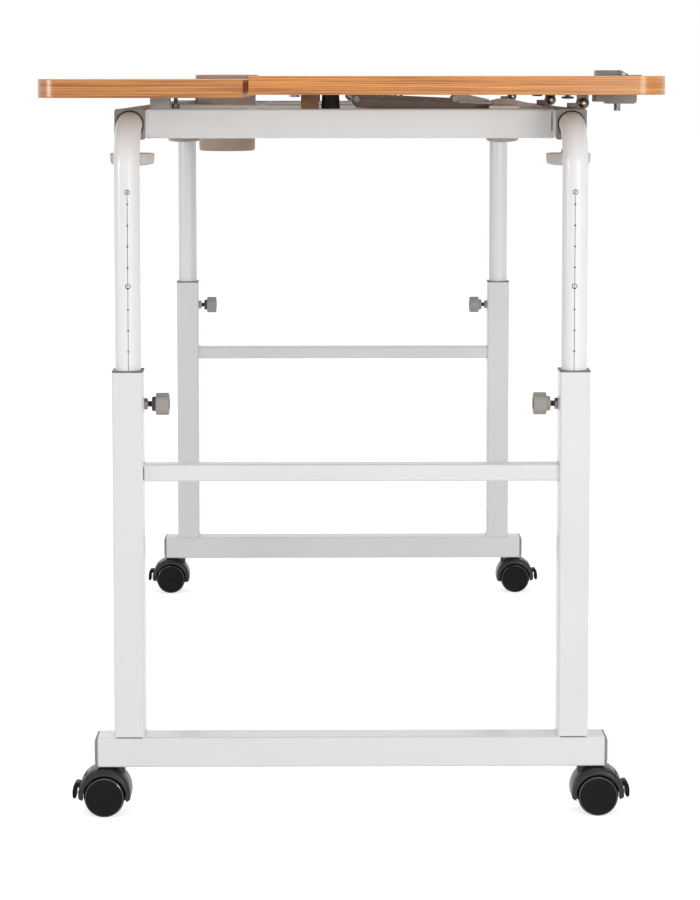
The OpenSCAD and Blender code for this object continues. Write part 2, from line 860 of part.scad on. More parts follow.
module cup_holder() {
    r1 = cup_d / 2;
    r0 = r1 - cup_taper;
    translate([-cup_x, cup_y, 0]) difference() {
        union() {
            translate([0, 0, cup_z + cup_round])
                cylinder(r1 = r0, r2 = r1, h = cup_depth - cup_round + eps);
            rotate_extrude() translate([0, cup_z]) {
                square([r0 - cup_round, cup_round + eps]);
                translate([r0 - cup_round, cup_round]) intersection() {
                    circle(cup_round);
                    translate([0, -cup_round]) square([cup_round, cup_round + eps]);
                }
            }
            translate([0, 0, fixed_top]) cylinder(d = cup_flange_d, h = cup_flange_t);
        }
        translate([0, 0, cup_z + cup_floor])
            cylinder(d = cup_bore_d, h = cup_depth + cup_flange_t + 1);
    }
}

// Knobs

// A knob with flutes round its rim, along +Z.
module fluted_knob(d, t, flute_r, lobes) {
    difference() {
        cylinder(d = d, h = t);
        for (i = [0:lobes - 1]) rotate(i * 360 / lobes)
            translate([d / 2 + flute_r * flute_set_out, 0, -1]) cylinder(r = flute_r, h = t + 2);
    }
}

// A lock knob with its collar and its stud, which reaches to the round tube.
module lock_knob() {
    translate([leg_x, -leg_y, lock_z]) rotate([0, -90, 0]) {
        translate([0, 0, stud_start]) cylinder(r = stud_r, h = knob_start - stud_start + 1);
        translate([0, 0, collar_start]) cylinder(d = lock_collar_d, h = knob_collar_t + eps);
        translate([0, 0, knob_start]) fluted_knob(lock_knob_d, lock_knob_t, lock_flute_r, lock_lobes);
    }
}

// A hand knob under a rail with its stud.
module rail_knob() {
    translate([leg_x, -knob_y, rail_z]) rotate([180, 0, 0]) {
        translate([0, 0, stud_start]) cylinder(r = stud_r, h = rail_knob_start - stud_start + 1);
        translate([0, 0, rail_collar_start])
            cylinder(d = lock_collar_d, h = knob_collar_t + eps);
        translate([0, 0, rail_knob_start]) fluted_knob(rail_knob_d, rail_knob_t, rail_flute_r, rail_lobes);
    }
}

// Casters

// The side view of the hood: an arch over the wheels with the web and the stem boss.
module hood_arch() {
    difference() {
        translate([axle_x, hood_cz]) circle(hood_out);
        translate([axle_x, axle_z]) circle(hood_in);
        translate([axle_x - 2 * hood_out, -hood_out]) square([4 * hood_out, hood_out + hood_low]);
    }
}

module caster() {
    translate([0, -leg_y, 0]) difference() {
        union() {
            along_y(hood_w) hood_arch();
            along_y(web_t) difference() {
                translate([axle_x, axle_z]) circle(hood_in + web_over);
                translate([axle_x - hood_out, -hood_out]) square([2 * hood_out, hood_out + web_low]);
            }
            translate([stem_x, 0, hood_top - stem_boss])
                cylinder(d = stem_collar_d, h = stem_boss + hood_drop - stem_collar_gap);
            translate([stem_x, 0, hood_top - 1]) cylinder(d = stem_d, h = stem_top - hood_top + 1);
        }
        translate([axle_x, 0, axle_z]) rod_y(axle_d / 2 + pin_fit, -web_t, web_t);
        translate([lever_px, 0, lever_pz]) translate([-lever_slot_in, 0, -lever_slot_in])
            translate([0, -lever_w / 2 - lever_slot_gap, 0])
                cube([lever_slot_len, lever_w + 2 * lever_slot_gap, lever_slot_h]);
    }
    translate([lever_px, -leg_y, lever_pz])
        rod_y(lever_pin_r, -lever_w / 2 - lever_pin_in, lever_w / 2 + lever_pin_in);
}

// A wheel's half section, with its tread rounded on both sides.
module wheel_section() {
    difference() {
        union() {
            translate([0, wheel_in]) square([wheel_r - wheel_round, wheel_w]);
            translate([0, wheel_in + wheel_round]) square([wheel_r, wheel_w - 2 * wheel_round]);
            for (y = [wheel_in + wheel_round, wheel_out - wheel_round])
                translate([wheel_r - wheel_round, y]) circle(wheel_round);
        }
        square([axle_d / 2 + pin_fit, wheel_out - hub_cap_t]);
    }
}

module wheels() {
    translate([axle_x, -leg_y, axle_z]) {
        for (s = [-1, 1]) rotate([90 * s, 0, 0]) rotate_extrude() wheel_section();
        rod_y(axle_d / 2, -wheel_out + hub_cap_t + pin_fit, wheel_out - hub_cap_t - pin_fit);
    }
}

// A brake lever that hooks over the outside of the hood.
module brake() {
    translate([lever_px, -leg_y, lever_pz]) difference() {
        union() {
            rod_y(lever_r, -lever_w / 2, lever_w / 2);
            along_y(lever_w) polygon([
                [-lever_r / 2, lever_r / 4],
                [0.07 * lever_reach, 0.79 * lever_rise],
                [0.39 * lever_reach, lever_rise],
                [0.68 * lever_reach, 0.82 * lever_rise],
                [0.91 * lever_reach, 0.18 * lever_rise],
                [lever_reach, -0.38 * lever_hang],
                [0.98 * lever_reach, -0.92 * lever_hang],
                [0.89 * lever_reach, -lever_hang],
                [0.61 * lever_reach, -lever_hang],
                [0.52 * lever_reach, -0.92 * lever_hang],
                [0.55 * lever_reach, -0.28 * lever_hang],
                [0.41 * lever_reach, 0.27 * lever_rise],
                [lever_r / 2, lever_r / 4]
            ]);
        }
        rod_y(lever_pin_r + pin_fit, -lever_w, lever_w);
    }
}

// Named nodes

module near_post_left() { color(steel_white) corner(-1, -1) post(); }
module near_post_right() { color(steel_white) corner(1, -1) post(); }
module near_crossbar() { color(steel_white) crossbar(); }
module near_foot_beam() { color(steel_white) foot_beam(); }
module near_foot_caps() { color(taupe) foot_caps(); }
module near_post_bushes() { color(taupe) post_bushes(); }
module far_post_left() { color(steel_white) corner(-1, 1) post(); }
module far_post_right() { color(steel_white) corner(1, 1) post(); }
module far_crossbar() { color(steel_white) corner(1, 1) crossbar(); }
module far_foot_beam() { color(steel_white) corner(1, 1) foot_beam(); }
module far_foot_caps() { color(taupe) corner(1, 1) foot_caps(); }
module far_post_bushes() { color(taupe) corner(1, 1) post_bushes(); }
module near_tube_left() { color(steel_white) corner(-1, -1) leg_tube(); }
module near_tube_right() { color(steel_white) corner(1, -1) leg_tube(); }
module near_tube_plugs() { color(nylon_black) tube_plugs(); }
module far_tube_left() { color(steel_white) corner(-1, 1) leg_tube(); }
module far_tube_right() { color(steel_white) corner(1, 1) leg_tube(); }
module far_tube_plugs() { color(nylon_black) corner(1, 1) tube_plugs(); }
module left_rail() { color(steel_white) corner(-1, -1) rail(); }
module right_rail() { color(steel_white) rail(); }
module near_apron() { color(steel_white) apron(); }
module far_apron() { color(steel_white) corner(1, 1) apron(); }
module middle_beam() { color(steel_white) cross_beam(); }
module rail_bush_set() { color(taupe) rail_bushes(); }
module fixed_board_piece() { color(wood) fixed_board(); }
module support_block_set() { color(block_brown) support_blocks(); }
module bumper_set() { color(nylon_black) rubber_bumpers(); }
module board_screw_set() { color(zinc) board_screws(); }
module hinge_base_set() { color(dark_steel) at_hinges() hinge_base(); }
module hinge_pin_set() { color(zinc) at_hinges() headed_pin(-ear_out, ear_out); }
module prop_bracket_set() { color(dark_steel) prop_brackets(); }
module tilting_board_piece() { color(wood) tilting_board(); }
module hinge_leaf_set() { color(dark_steel) at_hinges() hinge_leaf(); }
module hinge_screw_set() { color(zinc) hinge_screws(); }
module prop_rack_set() { color(dark_steel) prop_racks(); }
module edge_stop_piece() { color(taupe) edge_stop(); }
module edge_stop_screw_piece() { color(zinc) edge_stop_screw(); }
module prop_arm_set() { color(dark_steel) prop_arms(); }
module prop_rod_piece() { color(zinc) prop_rod(); }
module cup_holder_piece() { color(taupe) cup_holder(); }
module lock_knob_at(side, end) { color(taupe) corner(side, end) lock_knob(); }
module rail_knob_at(side, end) { color(taupe) corner(side, end) rail_knob(); }
module caster_at(side, end) { color(nylon_black) corner(side, end) caster(); }
module wheels_at(side, end) { color(nylon_black) corner(side, end) wheels(); }
module brake_at(side, end) { color(nylon_black) corner(side, end) brake(); }

near_post_left();
near_post_right();
near_crossbar();
near_foot_beam();
near_foot_caps();
near_post_bushes();
far_post_left();
far_post_right();
far_crossbar();
far_foot_beam();
far_foot_caps();
far_post_bushes();
near_tube_left();
near_tube_right();
near_tube_plugs();
far_tube_left();
far_tube_right();
far_tube_plugs();
left_rail();
right_rail();
near_apron();
far_apron();
middle_beam();
rail_bush_set();  // rail_bushes
fixed_board_piece();  // fixed_board
support_block_set();  // support_blocks
bumper_set();  // rubber_bumpers
board_screw_set();  // board_screws
hinge_base_set();  // hinge_bases
hinge_pin_set();  // hinge_pins
prop_bracket_set();  // prop_brackets
tilting_board_piece();  // tilting_board
hinge_leaf_set();  // hinge_leaves
hinge_screw_set();  // hinge_screws
prop_rack_set();  // prop_racks
edge_stop_piece();  // edge_stop
edge_stop_screw_piece();  // edge_stop_screw
prop_arm_set();  // prop_arms
prop_rod_piece();  // prop_rod
cup_holder_piece();  // cup_holder
lock_knob_at(-1, -1);  // lock_knob_near_left
lock_knob_at(1, -1);  // lock_knob_near_right
lock_knob_at(-1, 1);  // lock_knob_far_left
lock_knob_at(1, 1);  // lock_knob_far_right
rail_knob_at(-1, -1);  // rail_knob_near_left
rail_knob_at(1, -1);  // rail_knob_near_right
rail_knob_at(-1, 1);  // rail_knob_far_left
rail_knob_at(1, 1);  // rail_knob_far_right
caster_at(-1, -1);  // caster_near_left
caster_at(1, -1);  // caster_near_right
caster_at(-1, 1);  // caster_far_left
caster_at(1, 1);  // caster_far_right
wheels_at(-1, -1);  // wheels_near_left
wheels_at(1, -1);  // wheels_near_right
wheels_at(-1, 1);  // wheels_far_left
wheels_at(1, 1);  // wheels_far_right
brake_at(-1, -1);  // brake_near_left
brake_at(1, -1);  // brake_near_right
brake_at(-1, 1);  // brake_far_left
brake_at(1, 1);  // brake_far_right
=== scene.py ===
"""Looks for the rolling computer desk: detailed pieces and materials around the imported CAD."""

import math

import bmesh
import bpy
from mathutils import Matrix, Vector

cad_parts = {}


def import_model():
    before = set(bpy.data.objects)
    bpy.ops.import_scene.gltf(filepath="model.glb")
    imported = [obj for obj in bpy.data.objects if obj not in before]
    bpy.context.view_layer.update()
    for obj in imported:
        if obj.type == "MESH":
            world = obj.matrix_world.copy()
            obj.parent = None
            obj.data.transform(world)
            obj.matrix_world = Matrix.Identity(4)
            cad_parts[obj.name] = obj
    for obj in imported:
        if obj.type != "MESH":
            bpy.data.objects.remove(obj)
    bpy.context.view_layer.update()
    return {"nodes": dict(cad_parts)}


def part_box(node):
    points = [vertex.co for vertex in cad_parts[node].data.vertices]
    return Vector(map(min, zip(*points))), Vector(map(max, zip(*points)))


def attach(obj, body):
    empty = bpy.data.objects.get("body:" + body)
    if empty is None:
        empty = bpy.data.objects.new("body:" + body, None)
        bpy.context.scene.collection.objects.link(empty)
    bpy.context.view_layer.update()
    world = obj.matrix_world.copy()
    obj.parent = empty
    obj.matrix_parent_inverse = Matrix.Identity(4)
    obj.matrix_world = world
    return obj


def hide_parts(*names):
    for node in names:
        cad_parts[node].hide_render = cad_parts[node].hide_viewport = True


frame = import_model()

# Sizes in mm, read from the frame where it has them

MM = 0.001
SIDES = {"left": -1, "right": 1}
ENDS = {"near": -1, "far": 1}
CORNERS = [(e, s) for e in ENDS for s in SIDES]


def box(node):
    """Lowest and highest corner of a CAD node, in mm."""
    lo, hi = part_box(node)
    return lo / MM, hi / MM


POST = box("near_post_right")
BEAM = box("near_foot_beam")
BAR = box("near_crossbar")
RAIL = box("right_rail")
APRON = box("near_apron")
FIXED = box("fixed_board")
TILT = box("tilting_board")
CUP = box("cup_holder")
TUBE = box("near_tube_right")
LOCK = box("lock_knob_near_right")
HAND = box("rail_knob_near_right")
WHEELS = box("wheels_near_right")
CASTER = box("caster_near_right")
BRAKE = box("brake_near_right")
STOP = box("edge_stop")
BUSH = box("near_post_bushes")
CAP = box("near_foot_caps")
SUPPORTS = box("support_blocks")
PINS = box("hinge_pins")
SCREWS = box("hinge_screws")

TUBE_W = POST[1].y - POST[0].y
LEG_Y = (POST[0].y + POST[1].y) / 2
LEG_X = POST[1].x - TUBE_W / 2
POST_INNER = LEG_X - TUBE_W / 2
POST_OUTER = LEG_X + TUBE_W / 2
POST_TOP = POST[1].z
BEAM_TOP = BEAM[1].z
BEAM_LOW = BEAM[0].z
RAIL_TOP = RAIL[1].z
RAIL_Z = RAIL_TOP - TUBE_W / 2
RAIL_END = -RAIL[0].y
TUBE_R = (TUBE[1].x - TUBE[0].x) / 2
TUBE_CORNER = 2.5
AXLE = Vector(((WHEELS[0].x + WHEELS[1].x) / 2, LEG_Y, (WHEELS[0].z + WHEELS[1].z) / 2))
LOCK_Z = (LOCK[0].z + LOCK[1].z) / 2
HAND_Y = (HAND[0].y + HAND[1].y) / 2
CUP_X = (CUP[0].x + CUP[1].x) / 2
CUP_Y = (CUP[0].y + CUP[1].y) / 2
HINGE_X = (PINS[0].x + PINS[1].x) / 2
HINGE_Z = (PINS[0].z + PINS[1].z) / 2
HINGE_YS = (-460, -110, 460)
STEM_SHIFT = 13.5
STEM_X = (CASTER[0].x + CASTER[1].x) / 2 - STEM_SHIFT
EDGE_X = TILT[1].x

# Gaps between a round tube and what it runs through: a sleeve, a post's collar that the printed
# marks slide past, and the mouth of a rail's end plate
WALL_GAP = 0.05
MARK_GAP = 0.2
MOUTH_GAP = 1.1

# Boards. A corner's facets turn by less than BOARD_SHARP degrees and shade smooth, and the side and
# its rounded rim meet at more than that, so the side stays flat.
CORNER_R = 28
CORNER_STEPS = 14
BOARD_SOFT = 0.9
BOARD_SHARP = 12

# Supports under the boards
SPACER_W = 20.0
SPACER_H = 12.0
REST_W = 18.0

# Cup holder: bore, floor thickness, how far the flange overhangs the hole and the body, and taper
CUP_BORE_R = 35.0
CUP_FLOOR = 2.5
CUP_HOLE_INSET = 2.6
CUP_LIP = 3.1
CUP_TAPER = 1.5

# Plastic plates and caps on tube ends, with the plugs that hold them. A plate stands PLATE_OVER past
# its tube's sides, over a dark line, and a cap's rings are inset and distance out.
COLLAR_H = BUSH[1].z - POST_TOP
CAP_T = CAP[1].x - BEAM[1].x
CAP_RINGS = ((0, 0), (0, 1.6), (0.4, 2.0), (3.4, 3.4), (4.0, 3.58), (4.8, CAP_T))
PLATE_OVER = 0.3
PLATE_LINE = 0.45
PLUG = 13.2
SLEEVE_DEPTH = 18
CAP_PLUG_DEPTH = 10

# Knobs: studs with a thread, the collar under a grip, and the two kinds of grip. A hand grip's rim is
# drop in radius and height, and its crown is share of the radius and height.
STUD_R = 3.0
STUD_TIP = 13.0
THREAD_FROM = 19.4
THREAD_PITCH = 0.8
THREAD_DEPTH = 0.3
KNOB_COLLAR_R = 7.2
KNOB_COLLAR_T = 4.0
LOCK_STUD_TO = 24.5
LOCK_COLLAR_FROM = 23.4
LOCK_GRIP_R = 11
LOCK_LOBES = 6
LOCK_FLUTE = 1.0
LOCK_GRIP_FROM = 27.2
LOCK_GRIP_TO = 40.2
HAND_STUD_TO = 26
HAND_COLLAR_FROM = 25.4
HAND_GRIP_R = 22.5
HAND_LOBES = 8
HAND_FLUTE = 2.2
CROWN_FLUTE = 1.2
HAND_RIM = ((1.2, 29.2), (0.3, 29.7), (0, 30.6), (0.5, 38.4), (1.1, 39.6), (2.4, 40.3))
HAND_CROWN = ((0.7, 41.4), (0.35, 42.1))

# Weld nuts and the screws in the tilting board
NUT_R = 5.65
NUT_T = 4.1
NUT_BORE_R = 3.15
SCREW_R = 5.5
SCREW_HEAD = 3.6
SCREW_SHANK = 2.0
LEAF_SCREW_X = SCREWS[1].x - SCREW_R
LEAF_SCREW_OUT = 8.0
LEAF_SCREW_LENGTH = 14
REST_SCREW_X = SCREWS[0].x + SCREW_R
REST_SCREW_Y = -(APRON[0].y + APRON[1].y) / 2
REST_SCREW_LENGTH = 12

# Marks printed on the leg tubes: two lines from height to height, a row of dots counted from DOT_Z,
# and two ringed numbers, each with its height
MARK_LINES = ((POST_TOP - 100, 525.0), (531.0, 616.6))
MARK_LINE_HALF = 0.25
MARK_SHIFT = 1.2
MARK_LIFT = 0.03
DOT_Z = 464
DOT_STEP = 20.6
DOT_COUNTS = range(-5, 8)
DOT_R = 0.95
NUMBERS = ((1, 528), (2, 620))
NUMBER_RING = (2.7, 1.95)
DIGIT_H = 1.2
STROKE_W = 0.5

# Casters: the hood's section, half width and slot, the angles at which it starts, loses its slot and
# ends, the web, the stem with its collar, and the brake's half width
HOOD_INNER = 21.8
HOOD_OUTER = 26.0
HOOD_LIFT = 2.5
HOOD_HALF = 17.0
HOOD_SLOT = 7.4
HOOD_ANGLES = (-8, 46, 192)
WEB_R = 22.2
WEB_HALF = 3
STEM_COLLAR_R = 6.5
STEM_COLLAR_LOW = 38
STEM_COLLAR_TOP = 49.7
STEM_R = 4
STEM_LOW = 49
STEM_TOP = 72
BRAKE_HALF = 7

# A caster wheel's turned section, as radius and distance from the caster's middle, and a material slot
# for each step of it
WHEEL_PROFILE = [
    (3, 3.6), (18, 3.6), (19.4, 4.2), (20, 5.6), (20, 15.2), (19.7, 16.4), (19, 17.2), (18.2, 17.55),
    (17.9, 17.3), (17.5, 17.3), (17.1, 17.6), (12, 17.0), (5, 16.7), (0, 16.6)]
WHEEL_MATS = [0, 1, 1, 1, 1, 3, 3, 0, 0, 0, 0, 0, 0]

# The brake lever's side outline
LEVER = [
    (-2.1, 0.6), (-0.9, 2.6), (0.9, 4.5), (3.4, 5.6), (6, 4.8), (7.9, 1.6), (8.8, -3.8), (8.7, -8.4),
    (8.1, -10.2), (6.7, -10.7), (5.2, -10), (4.6, -8.2), (4.7, -3.4), (3.6, 0.8), (2.1, -0.2),
    (1.2, -1.8), (-1.2, -1.8)]


# Materials


def linear(*srgb):
    """A colour given as 0 to 255, as linear values for a shader."""
    return [((c / 255 + 0.055) / 1.055) ** 2.4 if c > 10 else c / 255 / 12.92 for c in srgb] + [1]


class Shader:
    """A material's nodes, with short helpers to make and link them."""

    def __init__(self, name, rough, metallic=0.0, coat=0.0, coat_rough=0.1, specular=0.5):
        self.mat = bpy.data.materials.new(name)
        self.mat.use_nodes = True
        self.tree = self.mat.node_tree
        self.bsdf = self.tree.nodes["Principled BSDF"]
        self.bsdf.inputs["Roughness"].default_value = rough
        self.bsdf.inputs["Metallic"].default_value = metallic
        self.bsdf.inputs["Coat Weight"].default_value = coat
        self.bsdf.inputs["Coat Roughness"].default_value = coat_rough
        self.bsdf.inputs["Specular IOR Level"].default_value = specular
        self.coords = self.node("ShaderNodeTexCoord").outputs["Object"]

    def node(self, kind, **values):
        """A new node with its settings and its sockets' values given by name."""
        made = self.tree.nodes.new(kind)
        for key, value in values.items():
            if hasattr(made, key):
                setattr(made, key, value)
            else:
                made.inputs[key.replace("_", " ").title()].default_value = value
        return made

    def link(self, a, b):
        """Joins an output to an input."""
        self.tree.links.new(a, b)

    def noise(self, scale, detail=3.0, stretch=(1, 1, 1), distortion=0.0, roughness=0.5):
        """Noise over the object's own coordinates, finer along the axes with a larger stretch."""
        mapping = self.node("ShaderNodeMapping")
        mapping.inputs["Scale"].default_value = stretch
        self.link(self.coords, mapping.inputs["Vector"])
        tex = self.node("ShaderNodeTexNoise", scale=scale, detail=detail, distortion=distortion)
        tex.inputs["Roughness"].default_value = roughness
        self.link(mapping.outputs["Vector"], tex.inputs["Vector"])
        return tex.outputs["Fac"]

    def ramp(self, value, stops):
        """Colours between stops, each a place from 0 to 1 and a colour."""
        made = self.node("ShaderNodeValToRGB")
        elements = made.color_ramp.elements
        while len(elements) < len(stops):
            elements.new(0.5)
        for element, (place, colour) in zip(elements, stops):
            element.position = place
            element.color = colour
        self.link(value, made.inputs["Fac"])
        return made.outputs["Color"]

    def tones(self, value, light, dark):
        """Two colours, given as 0 to 255, that follow a pattern."""
        return self.ramp(value, [(0.3, linear(*dark)), (0.7, linear(*light))])

    def mix(self, kind, amount, a, b):
        """Two colours blended, each given as a value or as another node's socket."""
        made = self.node("ShaderNodeMix", data_type="RGBA", blend_type=kind)
        for socket, value in ((0, amount), (6, a), (7, b)):
            if hasattr(value, "is_linked"):
                self.link(value, made.inputs[socket])
            else:
                made.inputs[socket].default_value = value
        return made.outputs[2]

    def colour(self, value):
        """Base colour from a node."""
        self.link(value, self.bsdf.inputs["Base Color"])

    def rough(self, value, low, high):
        """Roughness that follows a pattern between two values."""
        made = self.node("ShaderNodeMapRange")
        made.inputs["To Min"].default_value = low
        made.inputs["To Max"].default_value = high
        self.link(value, made.inputs["Value"])
        self.link(made.outputs["Result"], self.bsdf.inputs["Roughness"])

    def bump(self, value, strength, distance):
        """Small relief that follows a pattern."""
        made = self.node("ShaderNodeBump", strength=strength, distance=distance)
        self.link(value, made.inputs["Height"])
        self.link(made.outputs["Normal"], self.bsdf.inputs["Normal"])


def powder_coat(name, light, dark):
    """Smooth white powder coat with a faint orange-peel surface."""
    look = Shader(name, 0.28, coat=0.25, coat_rough=0.12, specular=0.45)
    look.colour(look.tones(look.noise(9, 4), light, dark))
    look.bump(look.noise(900, 2), 0.05, 0.0002)
    return look.mat


def moulded(name, light, dark, rough, grain, specular=0.4, coat=0.0):
    """Plastic, rubber or another plain surface with a fine matt grain."""
    look = Shader(name, rough, coat=coat, coat_rough=0.15, specular=specular)
    look.colour(look.tones(look.noise(60, 5), light, dark))
    fine = look.noise(grain, 3)
    look.rough(fine, rough - 0.06, rough + 0.08)
    look.bump(fine, 0.12, 0.0002)
    return look.mat


def metal(name, light, dark, rough, brushed):
    """Plated or oiled steel with fine scratches. brushed is large along the axis that they cross."""
    look = Shader(name, rough, metallic=1.0)
    look.colour(look.tones(look.noise(120, 5), light, dark))
    lines = look.noise(80, 4, stretch=brushed)
    look.rough(lines, rough - 0.08, rough + 0.12)
    look.bump(lines, 0.1, 0.0001)
    return look.mat


def wood(name, across, streak, pores, tones, crisp=0.0, coat=0.06, relief=0.08):
    """Wood-grain laminate.

    The larger across is along an axis, the finer the grain along it. The tones run dark to light.
    crisp hardens and darkens the pores, and relief is how deep they look.
    """
    look = Shader(name, 0.34, coat=coat, coat_rough=0.26, specular=0.24)
    places = (0.3, 0.43, 0.56, 0.72)
    wide = look.noise(streak, 3, stretch=across, distortion=0.5)
    broad = look.ramp(wide, [(place, linear(*tone)) for place, tone in zip(places, tones)])
    fine = look.noise(pores, 5, stretch=across, distortion=0.5, roughness=0.65)
    pore = look.ramp(fine, [(0.36 + crisp, linear(178, 108, 58)), (0.5, linear(255, 255, 255))])
    look.colour(look.mix("MULTIPLY", 0.5 + crisp, broad, pore))
    look.rough(fine, 0.28, 0.42)
    look.bump(fine, relief, 0.0002)
    return look.mat


WHITE = powder_coat("white_powder_coat", (233, 233, 233), (229, 229, 229))
TUBE_WHITE = powder_coat("white_tube_coat", (244, 244, 244), (241, 241, 241))
SEAM = moulded("dark_seam", (70, 66, 64), (55, 52, 50), 0.6, 900)
# Black layer under the rail end plates, seen round the tube as painted shade in the gap
GAP_SHADE = moulded("black_gap_painted_shade", (26, 24, 24), (18, 17, 17), 0.7, 900, specular=0.1)
TAUPE = moulded("taupe_plastic", (166, 160, 155), (159, 153, 148), 0.42, 1500)
COLLAR_TAUPE = moulded("post_collar_plastic", (134, 131, 128), (126, 123, 120), 0.45, 1500, specular=0.25)
HAND_TAUPE = moulded("hand_knob_plastic", (210, 205, 201), (203, 198, 194), 0.42, 1500)
TAUPE_DARK = moulded("dark_taupe_plastic", (146, 139, 135), (138, 131, 127), 0.45, 1500)
# The hand knobs' plastic made darker for the far knobs, as painted shade
FAR_KNOB_SHADE = moulded("far_knob_painted_shade", (176, 170, 166), (168, 162, 158), 0.45, 1500)
TAUPE_WARM = moulded("cup_plastic", (180, 159, 143), (171, 151, 135), 0.4, 1500)
PALE = moulded("clamp_grey", (138, 141, 145), (131, 134, 138), 0.45, 1500, specular=0.25)
JAW = moulded("clamp_dark", (144, 134, 130), (134, 125, 121), 0.45, 1500)
# Dark collars and dark lines; the left lock knobs' collars take it as painted shade
DARK_COLLAR_AND_SHADE = moulded("dark_collar_and_painted_shade", (74, 70, 68), (62, 59, 57), 0.4, 1200)
NYLON = moulded("black_nylon", (22, 21, 26), (17, 16, 21), 0.4, 900, specular=0.12)
GLOSS = moulded("black_gloss", (38, 37, 41), (31, 30, 34), 0.3, 700, specular=0.36)
RIM = moulded("black_rim", (40, 40, 44), (34, 34, 38), 0.18, 700, specular=0.6, coat=0.3)
TREAD = moulded("black_tread", (24, 24, 26), (17, 17, 19), 0.55, 1100, specular=0.14)
RUBBER = moulded("black_rubber", (30, 27, 27), (20, 18, 18), 0.62, 1300, specular=0.15)
BLOCK = moulded("brown_block", (118, 84, 58), (101, 70, 47), 0.5, 900)
INK = moulded("scale_ink", (62, 66, 86), (52, 56, 74), 0.5, 900)
ZINC = metal("zinc_plate", (214, 214, 216), (190, 191, 194), 0.22, (1, 12, 1))
NUT = metal("dull_zinc", (140, 139, 142), (108, 107, 111), 0.3, (1, 12, 1))
HEAD = metal("dark_screw", (98, 92, 90), (78, 73, 71), 0.3, (12, 1, 1))
STEEL = metal("dark_steel", (112, 101, 96), (97, 87, 82), 0.36, (1, 1, 12))
BRACKET = metal("bracket_steel", (168, 153, 143), (152, 138, 129), 0.4, (1, 1, 12))
LEAF = metal("leaf_steel", (128, 123, 122), (104, 99, 98), 0.34, (12, 1, 1))
RIVET = metal("rivet_end", (196, 178, 158), (178, 160, 141), 0.3, (1, 1, 12))
ARM_STEEL = metal("prop_steel", (112, 97, 89), (103, 89, 81), 0.36, (1, 1, 12))
BACKING = moulded("board_backing", (176, 147, 120), (168, 139, 112), 0.6, 700)
# The boards' upward rim faces, lighter as a painted highlight
RIM_HIGHLIGHT = moulded("laminate_rim_painted_highlight", (226, 176, 122), (216, 164, 110), 0.36, 700)

# Wood tones, dark to light, for the faces and for each board's edge
HONEY = ((172, 104, 52), (206, 136, 72), (224, 159, 93), (232, 173, 107))
FIXED_TONES = ((138, 79, 26), (188, 120, 50), (208, 141, 66), (219, 154, 76))
TILT_TONES = ((154, 90, 29), (203, 131, 51), (223, 149, 65), (233, 162, 76))
FACE_GRAIN = (60, 2.2, 60)
EDGE_GRAIN = (4.6, 4.6, 660)
FACE = wood("laminate_face", FACE_GRAIN, 1.0, 6.0, HONEY)
FIXED_EDGE = wood("fixed_board_edge", EDGE_GRAIN, 1.0, 1.8, FIXED_TONES, crisp=0.09, coat=1.0, relief=0.02)
TILT_EDGE = wood("tilting_board_edge", EDGE_GRAIN, 1.0, 1.8, TILT_TONES, crisp=0.09, coat=1.0, relief=0.02)


# Mesh helpers, all in mm


def mirrored(side, end):
    """From the near right-hand corner to another one."""
    return Matrix.Diagonal((side, -end, 1, 1))


def axis_matrix(axis):
    """Turns a shape drawn in u, v and height to stand along an axis, with v up for x and y."""
    if axis == "y":
        return Matrix(((1, 0, 0, 0), (0, 0, 1, 0), (0, 1, 0, 0), (0, 0, 0, 1)))
    if axis == "x":
        return Matrix(((0, 0, 1, 0), (1, 0, 0, 0), (0, 1, 0, 0), (0, 0, 0, 1)))
    return Matrix()


def join(bm, part, place):
    """Adds a finished solid to a piece's mesh."""
    bmesh.ops.transform(part, matrix=place, verts=part.verts)
    mesh = bpy.data.meshes.new("part")
    part.to_mesh(mesh)
    part.free()
    bm.from_mesh(mesh)
    bpy.data.meshes.remove(mesh)


def prism(bm, loops, lo, hi, axis="z", bevel=0.0, steps=2, side=0, cap=0, place=Matrix(), base=None,
          rim=None):
    """A straight solid from lo to hi with an outer loop and any holes.

    bevel rounds its rims in a number of steps.
    side, cap, base and rim are material slots: of the walls, of both ends, of the lower end alone and
    of the upper rim.
    """
    part = bmesh.new()
    edges = []
    for loop in loops:
        verts = [part.verts.new((u, v, lo)) for u, v in loop]
        edges += [part.edges.new((a, b)) for a, b in zip(verts, verts[1:] + verts[:1])]
    bmesh.ops.triangle_fill(part, use_beauty=True, edges=edges)
    bmesh.ops.dissolve_limit(part, angle_limit=0.01, verts=part.verts, edges=[
        edge for edge in part.edges if len(edge.link_faces) == 2])
    faces = list(part.faces)
    made = bmesh.ops.extrude_face_region(part, geom=faces)["geom"]
    top = [g for g in made if isinstance(g, bmesh.types.BMVert)]
    bmesh.ops.translate(part, verts=top, vec=(0, 0, hi - lo))
    bmesh.ops.recalc_face_normals(part, faces=part.faces)
    for face in part.faces:
        face.material_index = cap if abs(face.normal.z) > 0.5 else side
        if base is not None and face.normal.z < -0.5:
            face.material_index = base
    if bevel:
        rims = [edge for edge in part.edges if len(edge.link_faces) == 2
                and abs(abs(edge.link_faces[0].normal.z) - abs(edge.link_faces[1].normal.z)) > 0.5]
        bmesh.ops.bevel(part, geom=rims, offset=bevel, offset_type="OFFSET", segments=steps,
                        profile=0.5, affect="EDGES", clamp_overlap=True, material=-1)
    if rim is not None:
        for face in part.faces:
            if 0.2 < face.normal.z < 0.97:
                face.material_index = rim
    join(bm, part, place @ axis_matrix(axis))


def bridge(part, rings):
    """Walls between rings of equally many points, and a face over the first and last ring."""
    for low, high in zip(rings, rings[1:]):
        for i in range(len(low)):
            j = (i + 1) % len(low)
            part.faces.new((low[i], low[j], high[j], high[i]))
    part.faces.new(rings[0])
    part.faces.new(rings[-1])


